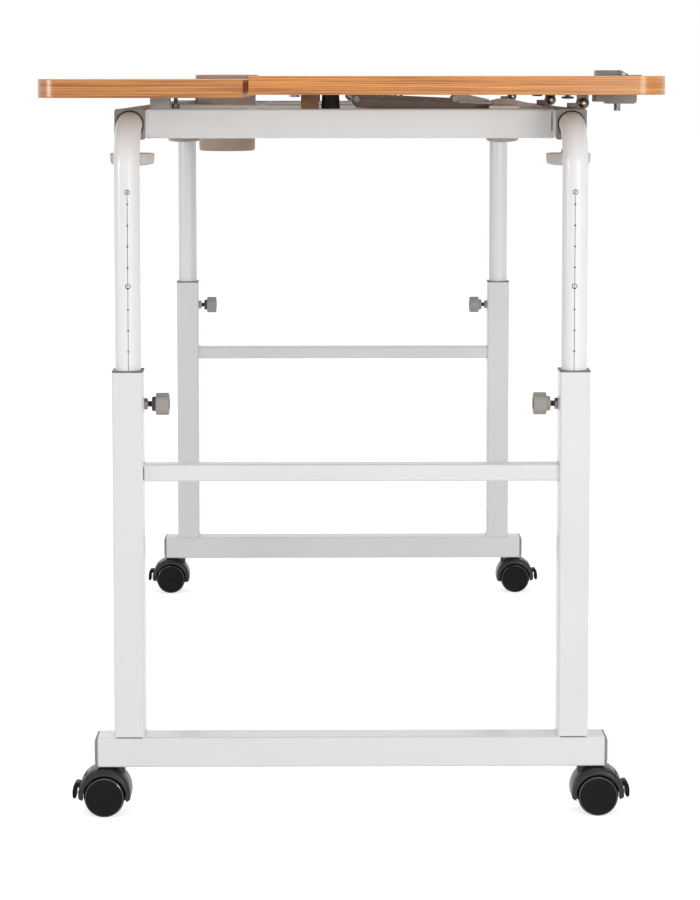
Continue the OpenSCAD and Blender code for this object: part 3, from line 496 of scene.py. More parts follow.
def lathe(bm, profile, place=Matrix(), steps=56, mat=0, mats=None):
    """A turned solid about the height axis from (radius, height) points, closed at radius 0.

    mats gives each step of the profile its own material slot.
    """
    part = bmesh.new()
    rings = []
    for r, h in profile:
        if r < 1e-6:
            rings.append([part.verts.new((0, 0, h))])
        else:
            rings.append([part.verts.new((r * math.cos(a), r * math.sin(a), h))
                          for a in (2 * math.pi * i / steps for i in range(steps))])
    for k, (low, high) in enumerate(zip(rings, rings[1:])):
        for i in range(steps):
            j = (i + 1) % steps
            quad = [low[i % len(low)], low[j % len(low)], high[j % len(high)], high[i % len(high)]]
            corners = list(dict.fromkeys(quad))
            if len(corners) > 2:
                part.faces.new(corners).material_index = mats[k] if mats else mat
    join(bm, part, place)


def ring_profile(inner, outer, lo, hi, soft):
    """The closed section of a ring with softened rims."""
    return [(inner, lo), (outer - soft, lo), (outer, lo + soft), (outer, hi - soft),
            (outer - soft, hi), (inner, hi), (inner, lo)]


def weld(bm, place, start, end, radius):
    """A weld bead of slightly uneven width.

    Its two points are given at the near right-hand corner, and place takes them to another one.
    """
    start = place @ Vector(start)
    end = place @ Vector(end)
    length = (end - start).length
    count = max(4, int(length / 1.1))
    turn = (end - start).to_track_quat("Z", "Y").to_matrix().to_4x4()
    profile = [(0, 0)]
    for i in range(count + 1):
        t = i / count
        ends = math.sqrt(max(0.12, 1 - (2 * t - 1) ** 8))
        profile.append((radius * ends * (1 + 0.1 * math.sin(i * 2.3)), length * t))
    profile.append((0, length))
    lathe(bm, profile, Matrix.Translation(start) @ turn, 10)


def rounded(x0, y0, x1, y1, radii, steps=8):
    """A rectangle's outline with a radius for each corner, from (x0, y0) round."""
    spots = [(x0, y0, 1, 1, 180), (x1, y0, -1, 1, 270), (x1, y1, -1, -1, 0), (x0, y1, 1, -1, 90)]
    points = []
    for (x, y, sx, sy, start), r in zip(spots, radii):
        if r <= 0:
            points.append((x, y))
            continue
        for i in range(steps + 1):
            a = math.radians(start + 90 * i / steps)
            points.append((x + sx * r + r * math.cos(a), y + sy * r + r * math.sin(a)))
    return points


def rectangle(x0, y0, x1, y1):
    """A rectangle's outline with sharp corners."""
    return [(x0, y0), (x1, y0), (x1, y1), (x0, y1)]


def circle(x, y, r, steps=56):
    """A circle's outline."""
    return [(x + r * math.cos(2 * math.pi * i / steps), y + r * math.sin(2 * math.pi * i / steps))
            for i in range(steps)]


def lobed(r, lobes, depth, steps=120):
    """A knob's outline with shallow flutes."""
    points = []
    for i in range(steps):
        a = 2 * math.pi * i / steps
        wave = (1 - math.cos(lobes * a)) / 2
        points.append(((r - depth * wave ** 3) * math.cos(a), (r - depth * wave ** 3) * math.sin(a)))
    return points


def piece(name, bm, materials, body, nodes=(), angle=32):
    """Makes a finished piece from a mesh in mm, rides it on its body and hides the nodes."""
    bmesh.ops.scale(bm, vec=(MM, MM, MM), verts=bm.verts)
    bmesh.ops.recalc_face_normals(bm, faces=bm.faces)
    for face in bm.faces:
        face.smooth = True
    mesh = bpy.data.meshes.new(name)
    bm.to_mesh(mesh)
    bm.free()
    mesh.set_sharp_from_angle(angle=math.radians(angle))
    for material in materials:
        mesh.materials.append(material)
    obj = bpy.data.objects.new(name, mesh)
    bpy.context.scene.collection.objects.link(obj)
    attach(obj, body)
    if nodes:
        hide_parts(*nodes)


def dress(names, material, bevel=0.0):
    """Gives CAD nodes their material and, where asked, softened edges."""
    for name in names:
        node = frame["nodes"][name]
        node.data.materials.clear()
        node.data.materials.append(material)
        if bevel:
            joined = node.modifiers.new("weld", "WELD")
            joined.merge_threshold = 0.00001
            soft = node.modifiers.new("soft_edges", "BEVEL")
            soft.width = bevel * MM
            soft.segments = 2
            soft.limit_method = "ANGLE"
            soft.angle_limit = math.radians(40)


# Boards


def board(name, bounds, radii, holes, edge, body, node):
    """A laminate board: grained top and edges, a plain underside and a top rim painted lighter as a
    highlight.
    """
    lo, hi = bounds
    bm = bmesh.new()
    outline = rounded(lo.x, lo.y, hi.x, hi.y, radii, CORNER_STEPS)
    # The upward rim faces take the lighter laminate as a painted highlight
    prism(bm, [outline] + holes, lo.z, hi.z, bevel=BOARD_SOFT, steps=3, cap=1, base=2, rim=3)
    piece(name, bm, [edge, FACE, BACKING, RIM_HIGHLIGHT], body, [node], BOARD_SHARP)


def boards():
    """The fixed board with the cup's hole, and the tilting board. Each is round at its outer corners."""
    hole = circle(CUP_X, CUP_Y, (CUP[1].x - CUP[0].x) / 2 - CUP_HOLE_INSET)
    board("fixed_board_panel", FIXED, (CORNER_R, 0, 0, CORNER_R), [hole], FIXED_EDGE, "top_frame",
          "fixed_board")
    board("tilting_board_panel", TILT, (0, CORNER_R, CORNER_R, 0), [], TILT_EDGE, "tilt_board",
          "tilting_board")


def supports():
    """Taupe spacers under the fixed board and brown rest blocks under the tilting one."""
    bm = bmesh.new()
    lo, hi = SUPPORTS
    depth = APRON[1].y - APRON[0].y
    for end in (-1, 1):
        y = sorted((end * hi.y, end * (hi.y - depth)))
        spacer = rounded(lo.x, y[0], lo.x + SPACER_W, y[1], (1.2,) * 4, 3)
        prism(bm, [spacer], lo.z, lo.z + SPACER_H, bevel=0.6)
        rest = rounded(hi.x - REST_W, y[0], hi.x, y[1], (1.2,) * 4, 3)
        prism(bm, [rest], lo.z, hi.z, bevel=0.6, side=1, cap=1)
    piece("board_supports", bm, [TAUPE, BLOCK], "top_frame", ["support_blocks"])


def cup():
    """The cup holder, turned from one section with a flange, a tapered body and a bore."""
    bm = bmesh.new()
    flange_r = (CUP[1].x - CUP[0].x) / 2
    body_r = flange_r - CUP_LIP
    low_r = body_r - CUP_TAPER
    bore_r = CUP_BORE_R
    top = CUP[1].z
    under = FIXED[1].z
    low = CUP[0].z
    floor_z = low + CUP_FLOOR
    profile = [(0, low + 1), (low_r - 8, low + 1), (low_r - 7, low), (low_r - 3, low)]
    profile += [(low_r - 3 + 3 * math.sin(a), low + 3 - 3 * math.cos(a))
                for a in (math.radians(15 * i) for i in range(1, 7))]
    profile += [(body_r, under - 0.05), (body_r, under), (flange_r - 0.8, under), (flange_r, under + 0.8),
                (flange_r, top - 1.6), (flange_r - 0.5, top - 0.5), (flange_r - 1.6, top),
                (bore_r + 1.8, top), (bore_r + 0.6, top - 0.6), (bore_r, top - 1.8),
                (bore_r, floor_z + 3), (bore_r - 0.9, floor_z + 0.9), (bore_r - 3, floor_z),
                (0, floor_z)]
    lathe(bm, profile, Matrix.Translation((CUP_X, CUP_Y, 0)), 96)
    piece("cup_holder_shell", bm, [TAUPE_WARM], "cup", ["cup_holder"], 40)


# Leg parts


def post_bushes(end):
    """Collars on top of the posts with a softened rim and a dark line where they meet them."""
    bm = bmesh.new()
    half = TUBE_W / 2 + PLATE_OVER
    within = half - 0.4
    y = LEG_Y * -ENDS[end]
    for side in (-1, 1):
        x = side * LEG_X
        outline = rounded(x - half, y - half, x + half, y + half, (TUBE_CORNER,) * 4, 5)
        hole = circle(x, y, TUBE_R + MARK_GAP)
        prism(bm, [outline, hole], POST_TOP + PLATE_LINE, POST_TOP + COLLAR_H, bevel=0.35)
        line = rounded(x - within, y - within, x + within, y + within, (TUBE_CORNER,) * 4, 5)
        prism(bm, [line, hole], POST_TOP, POST_TOP + PLATE_LINE + 0.05, side=1, cap=1)
        sleeve = rounded(x - PLUG, y - PLUG, x + PLUG, y + PLUG, (1, 1, 1, 1), 3)
        prism(bm, [sleeve, hole], POST_TOP - SLEEVE_DEPTH, POST_TOP)
    piece(end + "_post_collars", bm, [COLLAR_TAUPE, DARK_COLLAR_AND_SHADE], end + "_leg", [end + "_post_bushes"])


def rail_end_bushes():
    """Square plates in the ends of the rails, over a black layer that shows as a dark ring round the tube:
    painted shade in the gap.
    """
    bm = bmesh.new()
    half = TUBE_W / 2 + PLATE_OVER
    for end in (-1, 1):
        for side in (-1, 1):
            x = side * LEG_X
            z = RAIL_Z
            place = Matrix.Diagonal((1, end, 1, 1))
            outline = rounded(x - half, z - half, x + half, z + half, (TUBE_CORNER,) * 4, 5)
            wide = circle(x, z, TUBE_R + MOUTH_GAP)
            tight = circle(x, z, TUBE_R + WALL_GAP)
            prism(bm, [outline, wide], RAIL_END + 0.8, RAIL_END + 3, "y", 0.4, place=place)
            # The black layer under the plate shows through the wide mouth as painted shade round the tube
            prism(bm, [outline, tight], RAIL_END, RAIL_END + 0.8, "y", side=1, cap=1, place=place)
            sleeve = rounded(x - PLUG, z - PLUG, x + PLUG, z + PLUG, (1, 1, 1, 1), 3)
            prism(bm, [sleeve, tight], RAIL_END - SLEEVE_DEPTH, RAIL_END, "y", place=place)
    piece("rail_end_plates", bm, [TAUPE_DARK, GAP_SHADE], "top_frame", ["rail_bushes"])


def foot_caps(end):
    """Bevelled caps in the ends of a foot beam."""
    bm = bmesh.new()
    y = LEG_Y * -ENDS[end]
    z = (BEAM_TOP + BEAM_LOW) / 2
    for side in (-1, 1):
        part = bmesh.new()
        rings = []
        for inset, out in CAP_RINGS:
            half = TUBE_W / 2 - inset
            loop = rounded(-half, -half, half, half, (TUBE_CORNER,) * 4, 4)
            rings.append([part.verts.new((u, v, out)) for u, v in loop])
        bridge(part, rings)
        place = Matrix.Translation((side * BEAM[1].x, y, z)) @ Matrix.Diagonal((side, 1, 1, 1))
        join(bm, part, place @ axis_matrix("x"))
        plug = rounded(-PLUG, -PLUG, PLUG, PLUG, (1, 1, 1, 1), 3)
        prism(bm, [plug], -CAP_PLUG_DEPTH, 0, "x", place=place)
    piece(end + "_end_caps", bm, [TAUPE_DARK], end + "_leg", [end + "_foot_caps"], 25)


def leg_welds(end):
    """Beads where posts, crossbar and foot beam meet, seams between them and stem collars."""
    bm = bmesh.new()
    flat = TUBE_W / 2 - 1.2
    edge = TUBE_W / 2 - 0.8
    seam_half = TUBE_W / 2 - 2.4
    for side in (-1, 1):
        place = mirrored(side, ENDS[end])
        for x in (POST_INNER, POST_OUTER):
            weld(bm, place, (x, LEG_Y - flat, BEAM_TOP + 0.2), (x, LEG_Y + flat, BEAM_TOP + 0.2), 1.3)
            inward = 1.6 if x < LEG_X else -1.6
            for y in (LEG_Y - edge, LEG_Y + edge):
                weld(bm, place, (x - inward / 3, y, BEAM_TOP + 0.3), (x + inward, y, BEAM_TOP + 0.3), 1.1)
        seam = rectangle(LEG_X - seam_half, BEAM_TOP - 0.2, LEG_X + seam_half, BEAM_TOP + 0.6)
        y = LEG_Y - TUBE_W / 2
        prism(bm, [seam], y - 0.06, y + 0.5, "y", side=1, cap=1, place=place)
        x = POST_INNER - 0.2
        for z in (BAR[0].z, BAR[1].z):
            weld(bm, place, (x, LEG_Y - 8.5, z), (x, LEG_Y + 8.5, z), 1.0)
        if side < 0:
            bar_seam = rectangle(POST_INNER - 0.9, BAR[0].z + 2, POST_INNER, BAR[1].z - 2)
            y = LEG_Y - (BAR[1].y - BAR[0].y) / 2
            prism(bm, [bar_seam], y - 0.06, y + 0.4, "y", side=1, cap=1, place=place)
        ring = ring_profile(6.75, 8.2, BEAM_LOW - 1.6, BEAM_LOW + 0.2, 0.5)
        lathe(bm, ring, place @ Matrix.Translation((STEM_X, LEG_Y, 0)), 32)
        turn = Matrix.Translation((POST_INNER, LEG_Y, LOCK_Z)) @ Matrix.Rotation(-math.pi / 2, 4, "Y")
        weld_nut(bm, place @ turn)
    piece(end + "_leg_welds", bm, [WHITE, SEAM, NUT], end + "_leg")


def weld_nut(bm, place):
    """A plated weld nut with a low painted flare where it meets its tube, along +Z."""
    flare = NUT_R + 1.2
    lathe(bm, [(3.4, 0), (flare, 0), (flare - 0.7, 0.8), (3.4, 1.0), (3.4, 0)], place, 24)
    prism(bm, [circle(0, 0, NUT_R, 6), circle(0, 0, NUT_BORE_R, 24)], 0.2, NUT_T, bevel=0.3, side=2,
          cap=2, place=place)


def frame_welds():
    """Beads and seams where the cross tubes meet the rails, and weld nuts under the rails."""
    bm = bmesh.new()
    inner = POST_INNER
    face = -APRON[0].y
    for end in (-1, 1):
        for side in (-1, 1):
            place = Matrix.Diagonal((side, end, 1, 1))
            for z in (RAIL_TOP - 1.2, RAIL_Z - 12.5):
                weld(bm, place, (inner - 0.4, face, z - 1.6), (inner - 0.4, face, z + 1.2), 1.5)
            for z in (RAIL_TOP - 6, RAIL_Z - 8):
                weld(bm, place, (inner - 2.4, face - 0.6, z), (inner + 1.6, face - 0.6, z), 1.2)
            seam = rectangle(inner - 0.9, RAIL_Z - 9, inner, RAIL_TOP - 2)
            slot = 1 if side > 0 else 0
            prism(bm, [seam], face - 0.5, face + 0.05, "y", side=slot, cap=slot, place=place)
            for z in (RAIL_TOP - 0.4, RAIL_TOP - TUBE_W + 0.4):
                weld(bm, place, (inner, face - 18, z), (inner, face - 2, z), 1.0)
                weld(bm, Matrix.Diagonal((side, 1, 1, 1)), (inner, -8, z), (inner, 8, z), 1.0)
            under = Matrix.Translation((LEG_X, -HAND_Y, RAIL_TOP - TUBE_W))
            weld_nut(bm, place @ under @ Matrix.Rotation(math.pi, 4, "X"))
    piece("frame_welds", bm, [WHITE, SEAM, NUT], "top_frame")


# Marks on the leg tubes


def on_tube(across, up):
    """A point on the outward side of a tube, from its place across the surface and its height."""
    a = across / TUBE_R
    r = TUBE_R + MARK_LIFT
    return Vector((LEG_X + r * math.sin(a), LEG_Y - r * math.cos(a), up))


def patch(bm, place, outline, hole=None):
    """A thin mark laid on a tube's surface, or a ring of it between an outline and a hole."""
    if not hole:
        bm.faces.new([bm.verts.new(place @ on_tube(*p)) for p in outline])
        return
    for i in range(len(outline)):
        j = (i + 1) % len(outline)
        quad = (outline[i], outline[j], hole[j], hole[i])
        bm.faces.new([bm.verts.new(place @ on_tube(*p)) for p in quad])


# The strokes of each digit, about its own centre
DIGITS = {
    1: [((0, -1), (0, 1)), ((-0.35, 0.65), (0, 1))],
    2: [((-0.6, 1), (0.6, 1)), ((0.6, 1), (0.6, 0)), ((0.6, 0), (-0.6, 0)), ((-0.6, 0), (-0.6, -1)),
        ((-0.6, -1), (0.6, -1))],
}


def stroke(bm, place, a, b, width):
    """A straight stroke of a digit."""
    a, b = Vector(a), Vector(b)
    side = (b - a).normalized().orthogonal() * width / 2
    along = (b - a).normalized() * width / 2
    corners = [a - along - side, b + along - side, b + along + side, a - along + side]
    patch(bm, place, [tuple(c) for c in corners])


def scale_marks(end):
    """Thin lines, a row of dots and two ringed numbers on each leg tube."""
    bm = bmesh.new()
    outer, inner = NUMBER_RING
    for side in (-1, 1):
        place = Matrix.Diagonal((1, -ENDS[end], 1, 1)) @ Matrix.Translation((side * LEG_X - LEG_X, 0, 0))
        across = -side * MARK_SHIFT
        for low, high in MARK_LINES:
            patch(bm, place, rectangle(across - MARK_LINE_HALF, low, across + MARK_LINE_HALF, high))
        for i in DOT_COUNTS:
            patch(bm, place, circle(across, DOT_Z + DOT_STEP * i, DOT_R, 12))
        for digit, z in NUMBERS:
            patch(bm, place, circle(across, z, outer, 24), circle(across, z, inner, 24))
            for a, b in DIGITS[digit]:
                stroke(bm, place, (across + a[0], z + a[1] * DIGIT_H),
                       (across + b[0], z + b[1] * DIGIT_H), STROKE_W)
    piece(end + "_scale_marks", bm, [INK], end + "_tubes")


# Knobs


def thread(r, lo, hi, pitch):
    """Points of a thread's crests and roots on a stud."""
    count = int((hi - lo) / pitch)
    return [(r - (THREAD_DEPTH if i % 2 else 0), lo + i * pitch / 2) for i in range(2 * count)]


def stud(bm, place, end, collar, collar_mat):
    """A knob's threaded stud from its tip to end, and the collar under the grip."""
    tip = [(0, STUD_TIP), (STUD_R - 0.8, STUD_TIP), (STUD_R, STUD_TIP + 0.8)]
    ridges = thread(STUD_R, THREAD_FROM, end, THREAD_PITCH)
    lathe(bm, tip + ridges + [(STUD_R, end), (0, end)], place, 32, 1)
    ring = ring_profile(0, KNOB_COLLAR_R, collar, collar + KNOB_COLLAR_T, 0.5)
    lathe(bm, ring, place, 48, collar_mat)


def lock_knobs():
    """Fluted lock knobs on the inner sides of the posts. The left ones' collars are given dark plastic as
    painted shade.
    """
    for end, side in CORNERS:
        bm = bmesh.new()
        turn = Matrix.Translation((LEG_X, LEG_Y, LOCK_Z)) @ Matrix.Rotation(-math.pi / 2, 4, "Y")
        place = mirrored(SIDES[side], ENDS[end]) @ turn
        # The left knobs' collars get the dark material as painted shade, and the right ones keep the knob's
        # taupe
        stud(bm, place, LOCK_STUD_TO, LOCK_COLLAR_FROM, 2 if side == "left" else 0)
        grip = lobed(LOCK_GRIP_R, LOCK_LOBES, LOCK_FLUTE)
        prism(bm, [grip], LOCK_GRIP_FROM, LOCK_GRIP_TO, bevel=1.1, steps=3, place=place)
        prism(bm, [circle(0, 0, 6)], LOCK_GRIP_TO - 0.2, LOCK_GRIP_TO, place=place)
        node = "lock_knob_%s_%s" % (end, side)
        piece(node + "_grip", bm, [TAUPE, NUT, DARK_COLLAR_AND_SHADE], node, [node], 30)


def hand_knobs():
    """Wide fluted hand knobs under the rails, with a low crown. The far ones are darker, as painted shade.
    """
    for end, side in CORNERS:
        bm = bmesh.new()
        place = (mirrored(SIDES[side], ENDS[end])
                 @ Matrix.Translation((LEG_X, HAND_Y, RAIL_Z)) @ Matrix.Rotation(math.pi, 4, "X"))
        stud(bm, place, HAND_STUD_TO, HAND_COLLAR_FROM, 2)
        part = bmesh.new()
        rings = []
        for drop, h in HAND_RIM:
            loop = lobed(HAND_GRIP_R - drop, HAND_LOBES, HAND_FLUTE, 160)
            rings.append([part.verts.new((u, v, h)) for u, v in loop])
        for scale, h in HAND_CROWN:
            loop = lobed(HAND_GRIP_R * scale, HAND_LOBES, CROWN_FLUTE * scale, 160)
            rings.append([part.verts.new((u, v, h)) for u, v in loop])
        bridge(part, rings)
        join(bm, part, place)
        node = "rail_knob_%s_%s" % (end, side)
        # The far knobs take the darker copy of the plastic as painted shade
        grip = HAND_TAUPE if end == "near" else FAR_KNOB_SHADE
        piece(node + "_grip", bm, [grip, NUT, DARK_COLLAR_AND_SHADE], node, [node], 30)


# Casters


def arch(bm, place, start, stop, y0, y1, shoulder):
    """A stretch of the hood between two angles in degrees, with rounded shoulders."""
    part = bmesh.new()
    steps = max(3, int(abs(stop - start) / 5))
    inner = HOOD_INNER
    outer = HOOD_OUTER
    section = [(inner, y0), (outer - shoulder, y0), (outer - 0.3 * shoulder, y0 + 0.5 * shoulder),
               (outer, y0 + 1.3 * shoulder), (outer, y1 - 1.3 * shoulder),
               (outer - 0.3 * shoulder, y1 - 0.5 * shoulder), (outer - shoulder, y1), (inner, y1)]
    rings = []
    for i in range(steps + 1):
        a = math.radians(start + (stop - start) * i / steps)
        ring = []
        for r, y in section:
            lift = HOOD_LIFT * (r - inner) / (outer - inner)
            ring.append(part.verts.new((r * math.cos(a), y, r * math.sin(a) + lift)))
        rings.append(ring)
    bridge(part, rings)
    join(bm, part, place)


def hood(place, node):
    """A caster's hood with a slot at one end, the web between the wheels, and the stem."""
    bm = bmesh.new()
    start, split, stop = HOOD_ANGLES
    arch(bm, place, split, stop, -HOOD_HALF, HOOD_HALF, 2.6)
    arch(bm, place, start, split, -HOOD_HALF, -HOOD_SLOT, 1.2)
    arch(bm, place, start, split, HOOD_SLOT, HOOD_HALF, 1.2)
    web = [(WEB_R * math.cos(math.radians(a)), WEB_R * math.sin(math.radians(a)))
           for a in range(-18, 199, 9)]
    prism(bm, [web], -WEB_HALF, WEB_HALF, "y", 0.4, place=place)
    stem = place @ Matrix.Translation((STEM_X - AXLE.x, 0, -AXLE.z))
    lathe(bm, ring_profile(0, STEM_COLLAR_R, STEM_COLLAR_LOW, STEM_COLLAR_TOP, 0.4), stem, 40)
    pin = [(0, STEM_LOW), (STEM_R, STEM_LOW), (STEM_R, STEM_TOP - 1.4), (STEM_R - 1, STEM_TOP),
           (0, STEM_TOP)]
    lathe(bm, pin, stem, 32, 1)
    piece(node + "_hood", bm, [GLOSS, ZINC], node, [node], 38)


def wheel_pair(place, node):
    """Two turned wheels, one on each side of the web."""
    bm = bmesh.new()
    for side in (-1, 1):
        wheel = place @ Matrix.Rotation(-side * math.pi / 2, 4, "X")
        lathe(bm, WHEEL_PROFILE, wheel, 72, mats=WHEEL_MATS)
    piece(node + "_pair", bm, [NYLON, TREAD, ZINC, RIM], node, [node], 24)


def brake_lever(place, node):
    """The lever at a caster's outer end, its outline fitted to the CAD node's corner."""
    bm = bmesh.new()
    shift_x = BRAKE[0].x - min(u for u, v in LEVER) - AXLE.x
    shift_z = BRAKE[1].z - max(v for u, v in LEVER) - AXLE.z
    outline = [(u + shift_x, v + shift_z) for u, v in LEVER]
    prism(bm, [outline], -BRAKE_HALF, BRAKE_HALF, "y", 0.7, 3, place=place)
    piece(node + "_lever", bm, [NYLON], node, [node], 40)


def casters():
    """Hood, wheels and brake lever of each caster."""
    for end, side in CORNERS:
        place = mirrored(SIDES[side], ENDS[end]) @ Matrix.Translation(AXLE)
        corner = "_%s_%s" % (end, side)
        hood(place, "caster" + corner)
        wheel_pair(place, "wheels" + corner)
        brake_lever(place, "brake" + corner)


# Edge stop and hinge details


def edge_stop():
    """The clamp on the tilting board's edge: block and rib on top, web outside, jaw and pad below."""
    bm = bmesh.new()
    x0 = STOP[0].x + 2
    x1 = STOP[1].x
    y0 = STOP[0].y
    y1 = STOP[1].y
    low = STOP[0].z
    top = TILT[1].z
    block = [(x0, top), (x0, top + 6), (x0 + 19.5, top + 6), (x0 + 19.5, top)]
    prism(bm, [block], y0, y1, "y", 0.6)
    rib = [(x0 + 21.4, top), (x0 + 21.4, top + 6), (x0 + 23.4, top + 6), (x0 + 32, top + 1.2),
           (x1, top + 1.2), (x1, top)]
    prism(bm, [rib], y0, y1, "y", 0.4)
    fill = [(x0 + 19, top), (x0 + 19, top + 5.2), (x0 + 21.6, top + 5.2), (x0 + 21.6, top)]
    prism(bm, [fill], y0 + 1, y1 - 1, "y", side=1, cap=1)
    window = [(x0 + 24.8, top + 1.0), (x0 + 24.8, top + 3.6), (x0 + 27.6, top + 3.1), (x0 + 27.6, top + 1.0)]
    prism(bm, [window], y0 - 0.05, y0 + 1, "y", side=2, cap=2)
    web = [(EDGE_X, TILT[0].z - 1.2), (x1, TILT[0].z - 1.2), (x1, top + 1.2), (EDGE_X, top + 1.2)]
    prism(bm, [web], y0 + 0.2, y1 - 0.2, "y", side=3, cap=3)
    jaw = [(x0 - 2, TILT[0].z), (x0 - 2, low + 2), (x0 + 10, low + 2), (x0 + 10.4, low),
           (EDGE_X - 7, low), (EDGE_X - 4.9, low + 0.9), (EDGE_X - 4, low + 3),
           (EDGE_X - 4, TILT[0].z - 1.2), (x1, TILT[0].z - 1.2), (x1, TILT[0].z)]
    prism(bm, [jaw], y0, y1, "y", 0.5, side=3, cap=3)
    pad = rectangle(x0 + 11, low, x0 + 17, low + 1)
    prism(bm, [pad], y0 + 3, y1 - 3, "y", side=1, cap=1)
    piece("edge_stop_clamp", bm, [PALE, TAUPE_DARK, WHITE, JAW], "tilt_board", ["edge_stop"])


def hinge_rivets():
    """Dark domed heads with a bright middle, and nuts, on the hinge pins."""
    bm = bmesh.new()
    head = [(0, -9.5), (1.2, -9.5), (1.6, -9.4), (2.6, -9.25), (3.8, -8.6), (4.7, -7.6), (5, -7), (3, -7),
            (3, 7), (3, 9.2), (2.4, 9.5), (0, 9.5)]
    mats = [1, 1] + [0] * 6 + [1] * 3
    for y in HINGE_YS:
        place = Matrix.Translation((HINGE_X, y, HINGE_Z)) @ axis_matrix("y")
        lathe(bm, head, place, 40, mats=mats)
        prism(bm, [circle(0, 0, 4.9, 6), circle(0, 0, 3, 24)], 7, 9.3, bevel=0.4, place=place)
    piece("hinge_rivets", bm, [STEEL, RIVET], "top_frame", ["hinge_pins"], 30)


def tilt_screws():
    """Domed screws driven up into the tilting board, through the leaves and by the rest blocks."""
    bm = bmesh.new()
    r = SCREW_R
    t = SCREW_HEAD
    head = [(0, 0), (r - 2.0, 0), (r - 0.6, 0.4), (r, 1.1), (r, 1.7), (r - 0.5, 2.2), (SCREW_SHANK, 2.3),
            (SCREW_SHANK, t)]
    spots = [(LEAF_SCREW_X, y + end * LEAF_SCREW_OUT, SCREWS[0].z, LEAF_SCREW_LENGTH, 0)
             for y in HINGE_YS for end in (-1, 1)]
    spots += [(REST_SCREW_X, end * REST_SCREW_Y, TILT[0].z - t, REST_SCREW_LENGTH, 1)
              for end in (-1, 1)]
    for x, y, z, length, mat in spots:
        shank = [(SCREW_SHANK, t + length - 1), (0, t + length)]
        lathe(bm, head + shank, Matrix.Translation((x, y, z)), 32, mat)
    piece("tilt_screw_heads", bm, [HEAD, ZINC], "tilt_board", ["hinge_screws"], 30)


boards()
supports()
cup()
for leg_end in ENDS:
    post_bushes(leg_end)
    foot_caps(leg_end)
    leg_welds(leg_end)
    scale_marks(leg_end)
rail_end_bushes()
frame_welds()
lock_knobs()
hand_knobs()
casters()
edge_stop()
hinge_rivets()
tilt_screws()

dress(["%s_post_%s" % c for c in CORNERS], WHITE)
dress(["%s_tube_%s" % c for c in CORNERS], TUBE_WHITE)
dress(["near_crossbar", "far_crossbar", "near_foot_beam", "far_foot_beam"], WHITE)
dress(["left_rail", "right_rail", "near_apron", "far_apron", "middle_beam"], WHITE)
dress(["near_tube_plugs", "far_tube_plugs"], NYLON)
dress(["rubber_bumpers"], RUBBER, 0.6)
dress(["prop_rod", "edge_stop_screw"], NUT, 0.3)
dress(["hinge_bases", "prop_racks"], STEEL, 0.3)
dress(["hinge_leaves", "board_screws"], LEAF, 0.2)
dress(["prop_brackets"], BRACKET, 0.3)
dress(["prop_arms"], ARM_STEEL, 0.3)


# Floor, lights and camera, in m and W

FLOOR_HALF = 30.0
FLOOR_GREY = (0.8, 0.8, 0.8, 1)
# Light from the world, and the glow that lifts the floor to white
AMBIENT = 0.46
FLOOR_LIFT = 0.7
# The camera's focal length is in px for a picture this high, its angles are in radians
FRAME_H = 900
FOCAL_PX = 2427.3
SHIFT_Y = -0.2
CLIP_END = 200
CAMERA_AT = (-0.0267, -2.9008, 0.7306)
CAMERA_PITCH = 0.0788
CAMERA_TURN = -0.0107


def floor():
    """A wide floor that takes shadows and looks white to the camera."""
    bm = bmesh.new()
    corners = rectangle(-FLOOR_HALF, -FLOOR_HALF, FLOOR_HALF, FLOOR_HALF)
    bm.faces.new([bm.verts.new((x, y, 0)) for x, y in corners])
    mesh = bpy.data.meshes.new("floor")
    bm.to_mesh(mesh)
    bm.free()
    obj = bpy.data.objects.new("floor", mesh)
    bpy.context.scene.collection.objects.link(obj)
    mat = bpy.data.materials.new("pale_floor")
    mat.use_nodes = True
    tree = mat.node_tree
    tree.nodes.remove(tree.nodes["Principled BSDF"])
    diffuse = tree.nodes.new("ShaderNodeBsdfDiffuse")
    diffuse.inputs["Color"].default_value = FLOOR_GREY
    glow = tree.nodes.new("ShaderNodeEmission")
    scale = tree.nodes.new("ShaderNodeMath")
    scale.operation = "MULTIPLY"
    scale.inputs[1].default_value = FLOOR_LIFT
    add = tree.nodes.new("ShaderNodeAddShader")
    tree.links.new(seen_rays(tree), scale.inputs[0])
    tree.links.new(scale.outputs[0], glow.inputs["Strength"])
    tree.links.new(diffuse.outputs[0], add.inputs[0])
    tree.links.new(glow.outputs[0], add.inputs[1])
    tree.links.new(add.outputs[0], tree.nodes["Material Output"].inputs["Surface"])
    mesh.materials.append(mat)


def seen_rays(tree):
    """1 for camera, glossy and transmission rays, and 0 for the rest."""
    path = tree.nodes.new("ShaderNodeLightPath")
    total = path.outputs["Is Camera Ray"]
    for name in ("Is Glossy Ray", "Is Transmission Ray"):
        add = tree.nodes.new("ShaderNodeMath")
        add.operation = "MAXIMUM"
        tree.links.new(total, add.inputs[0])
        tree.links.new(path.outputs[name], add.inputs[1])
        total = add.outputs[0]
    return total


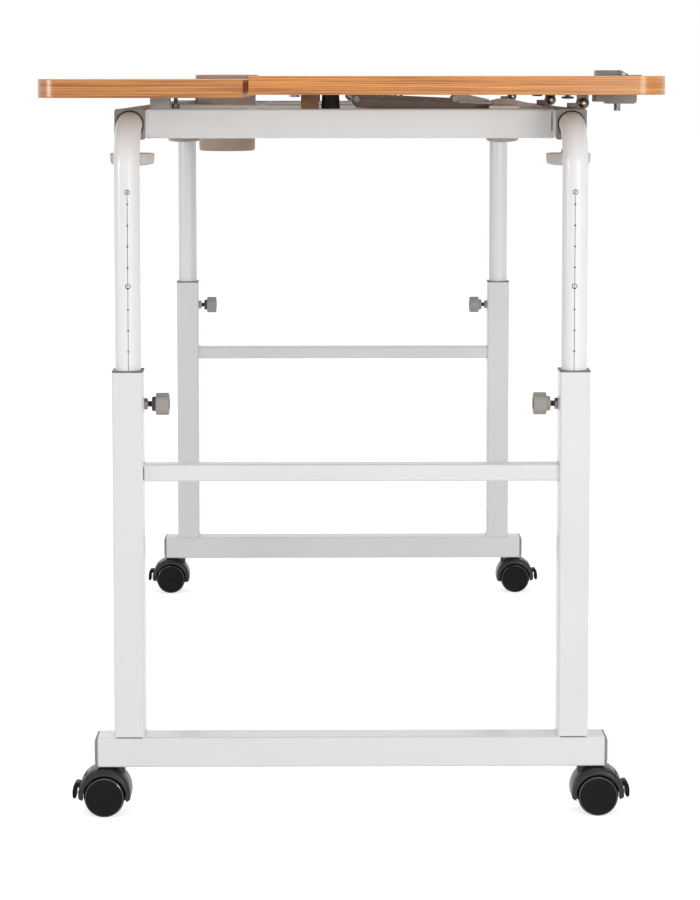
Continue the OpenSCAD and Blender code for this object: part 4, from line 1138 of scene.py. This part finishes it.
def world():
    """Even white light, and a full white background for camera, glossy and transmission rays."""
    scene_world = bpy.data.worlds.new("studio")
    bpy.context.scene.world = scene_world
    scene_world.use_nodes = True
    tree = scene_world.node_tree
    lit = tree.nodes["Background"]
    lit.inputs["Color"].default_value = (1, 1, 1, 1)
    lit.inputs["Strength"].default_value = AMBIENT
    shown = tree.nodes.new("ShaderNodeBackground")
    shown.inputs["Color"].default_value = (1, 1, 1, 1)
    shown.inputs["Strength"].default_value = 1.0
    mix = tree.nodes.new("ShaderNodeMixShader")
    tree.links.new(seen_rays(tree), mix.inputs[0])
    tree.links.new(lit.outputs[0], mix.inputs[1])
    tree.links.new(shown.outputs[0], mix.inputs[2])
    tree.links.new(mix.outputs[0], tree.nodes["World Output"].inputs["Surface"])


def lamp(name, place, target, size, power, in_gloss=True):
    """A rectangular lamp; in_gloss says whether shiny surfaces mirror it."""
    light = bpy.data.lights.new(name, "AREA")
    light.shape = "RECTANGLE"
    light.size, light.size_y = size
    light.energy = power
    obj = bpy.data.objects.new(name, light)
    obj.visible_glossy = in_gloss
    obj.location = place
    obj.rotation_euler = (Vector(target) - Vector(place)).to_track_quat("-Z", "Y").to_euler()
    bpy.context.scene.collection.objects.link(obj)


def camera():
    """The camera of the main view."""
    data = bpy.data.cameras.new("camera")
    data.lens = FOCAL_PX * data.sensor_width / FRAME_H
    data.shift_y = SHIFT_Y
    data.clip_end = CLIP_END
    obj = bpy.data.objects.new("camera", data)
    obj.location = CAMERA_AT
    obj.rotation_euler = (math.pi / 2 - CAMERA_PITCH, 0, CAMERA_TURN)
    bpy.context.scene.collection.objects.link(obj)
    bpy.context.scene.camera = obj


floor()
world()
lamp("top", (0.2, -0.3, 3.2), (0, 0, 0.6), (2.6, 2.6), 18)
lamp("front", (0.6, -6.0, 1.0), (0, 0, 0.5), (3.0, 1.6), 43, in_gloss=False)
lamp("edge_right", (1.41, -3.38, 0.76), (0.3, -0.6, 0.72), (0.9, 0.4), 17)
lamp("edge_left", (-2.75, -1.45, 0.76), (-0.3, -0.6, 0.72), (0.7, 0.4), 14)
lamp("right_fill", (2.2, -2.7, 0.9), (0, -0.4, 0.4), (0.5, 1.8), 14, in_gloss=False)
lamp("back", (-0.6, 3.2, 1.8), (0, 0, 0.5), (2.4, 1.6), 10)
camera()
bpy.context.scene.view_settings.view_transform = "Standard"

bpy.context.view_layer.update()
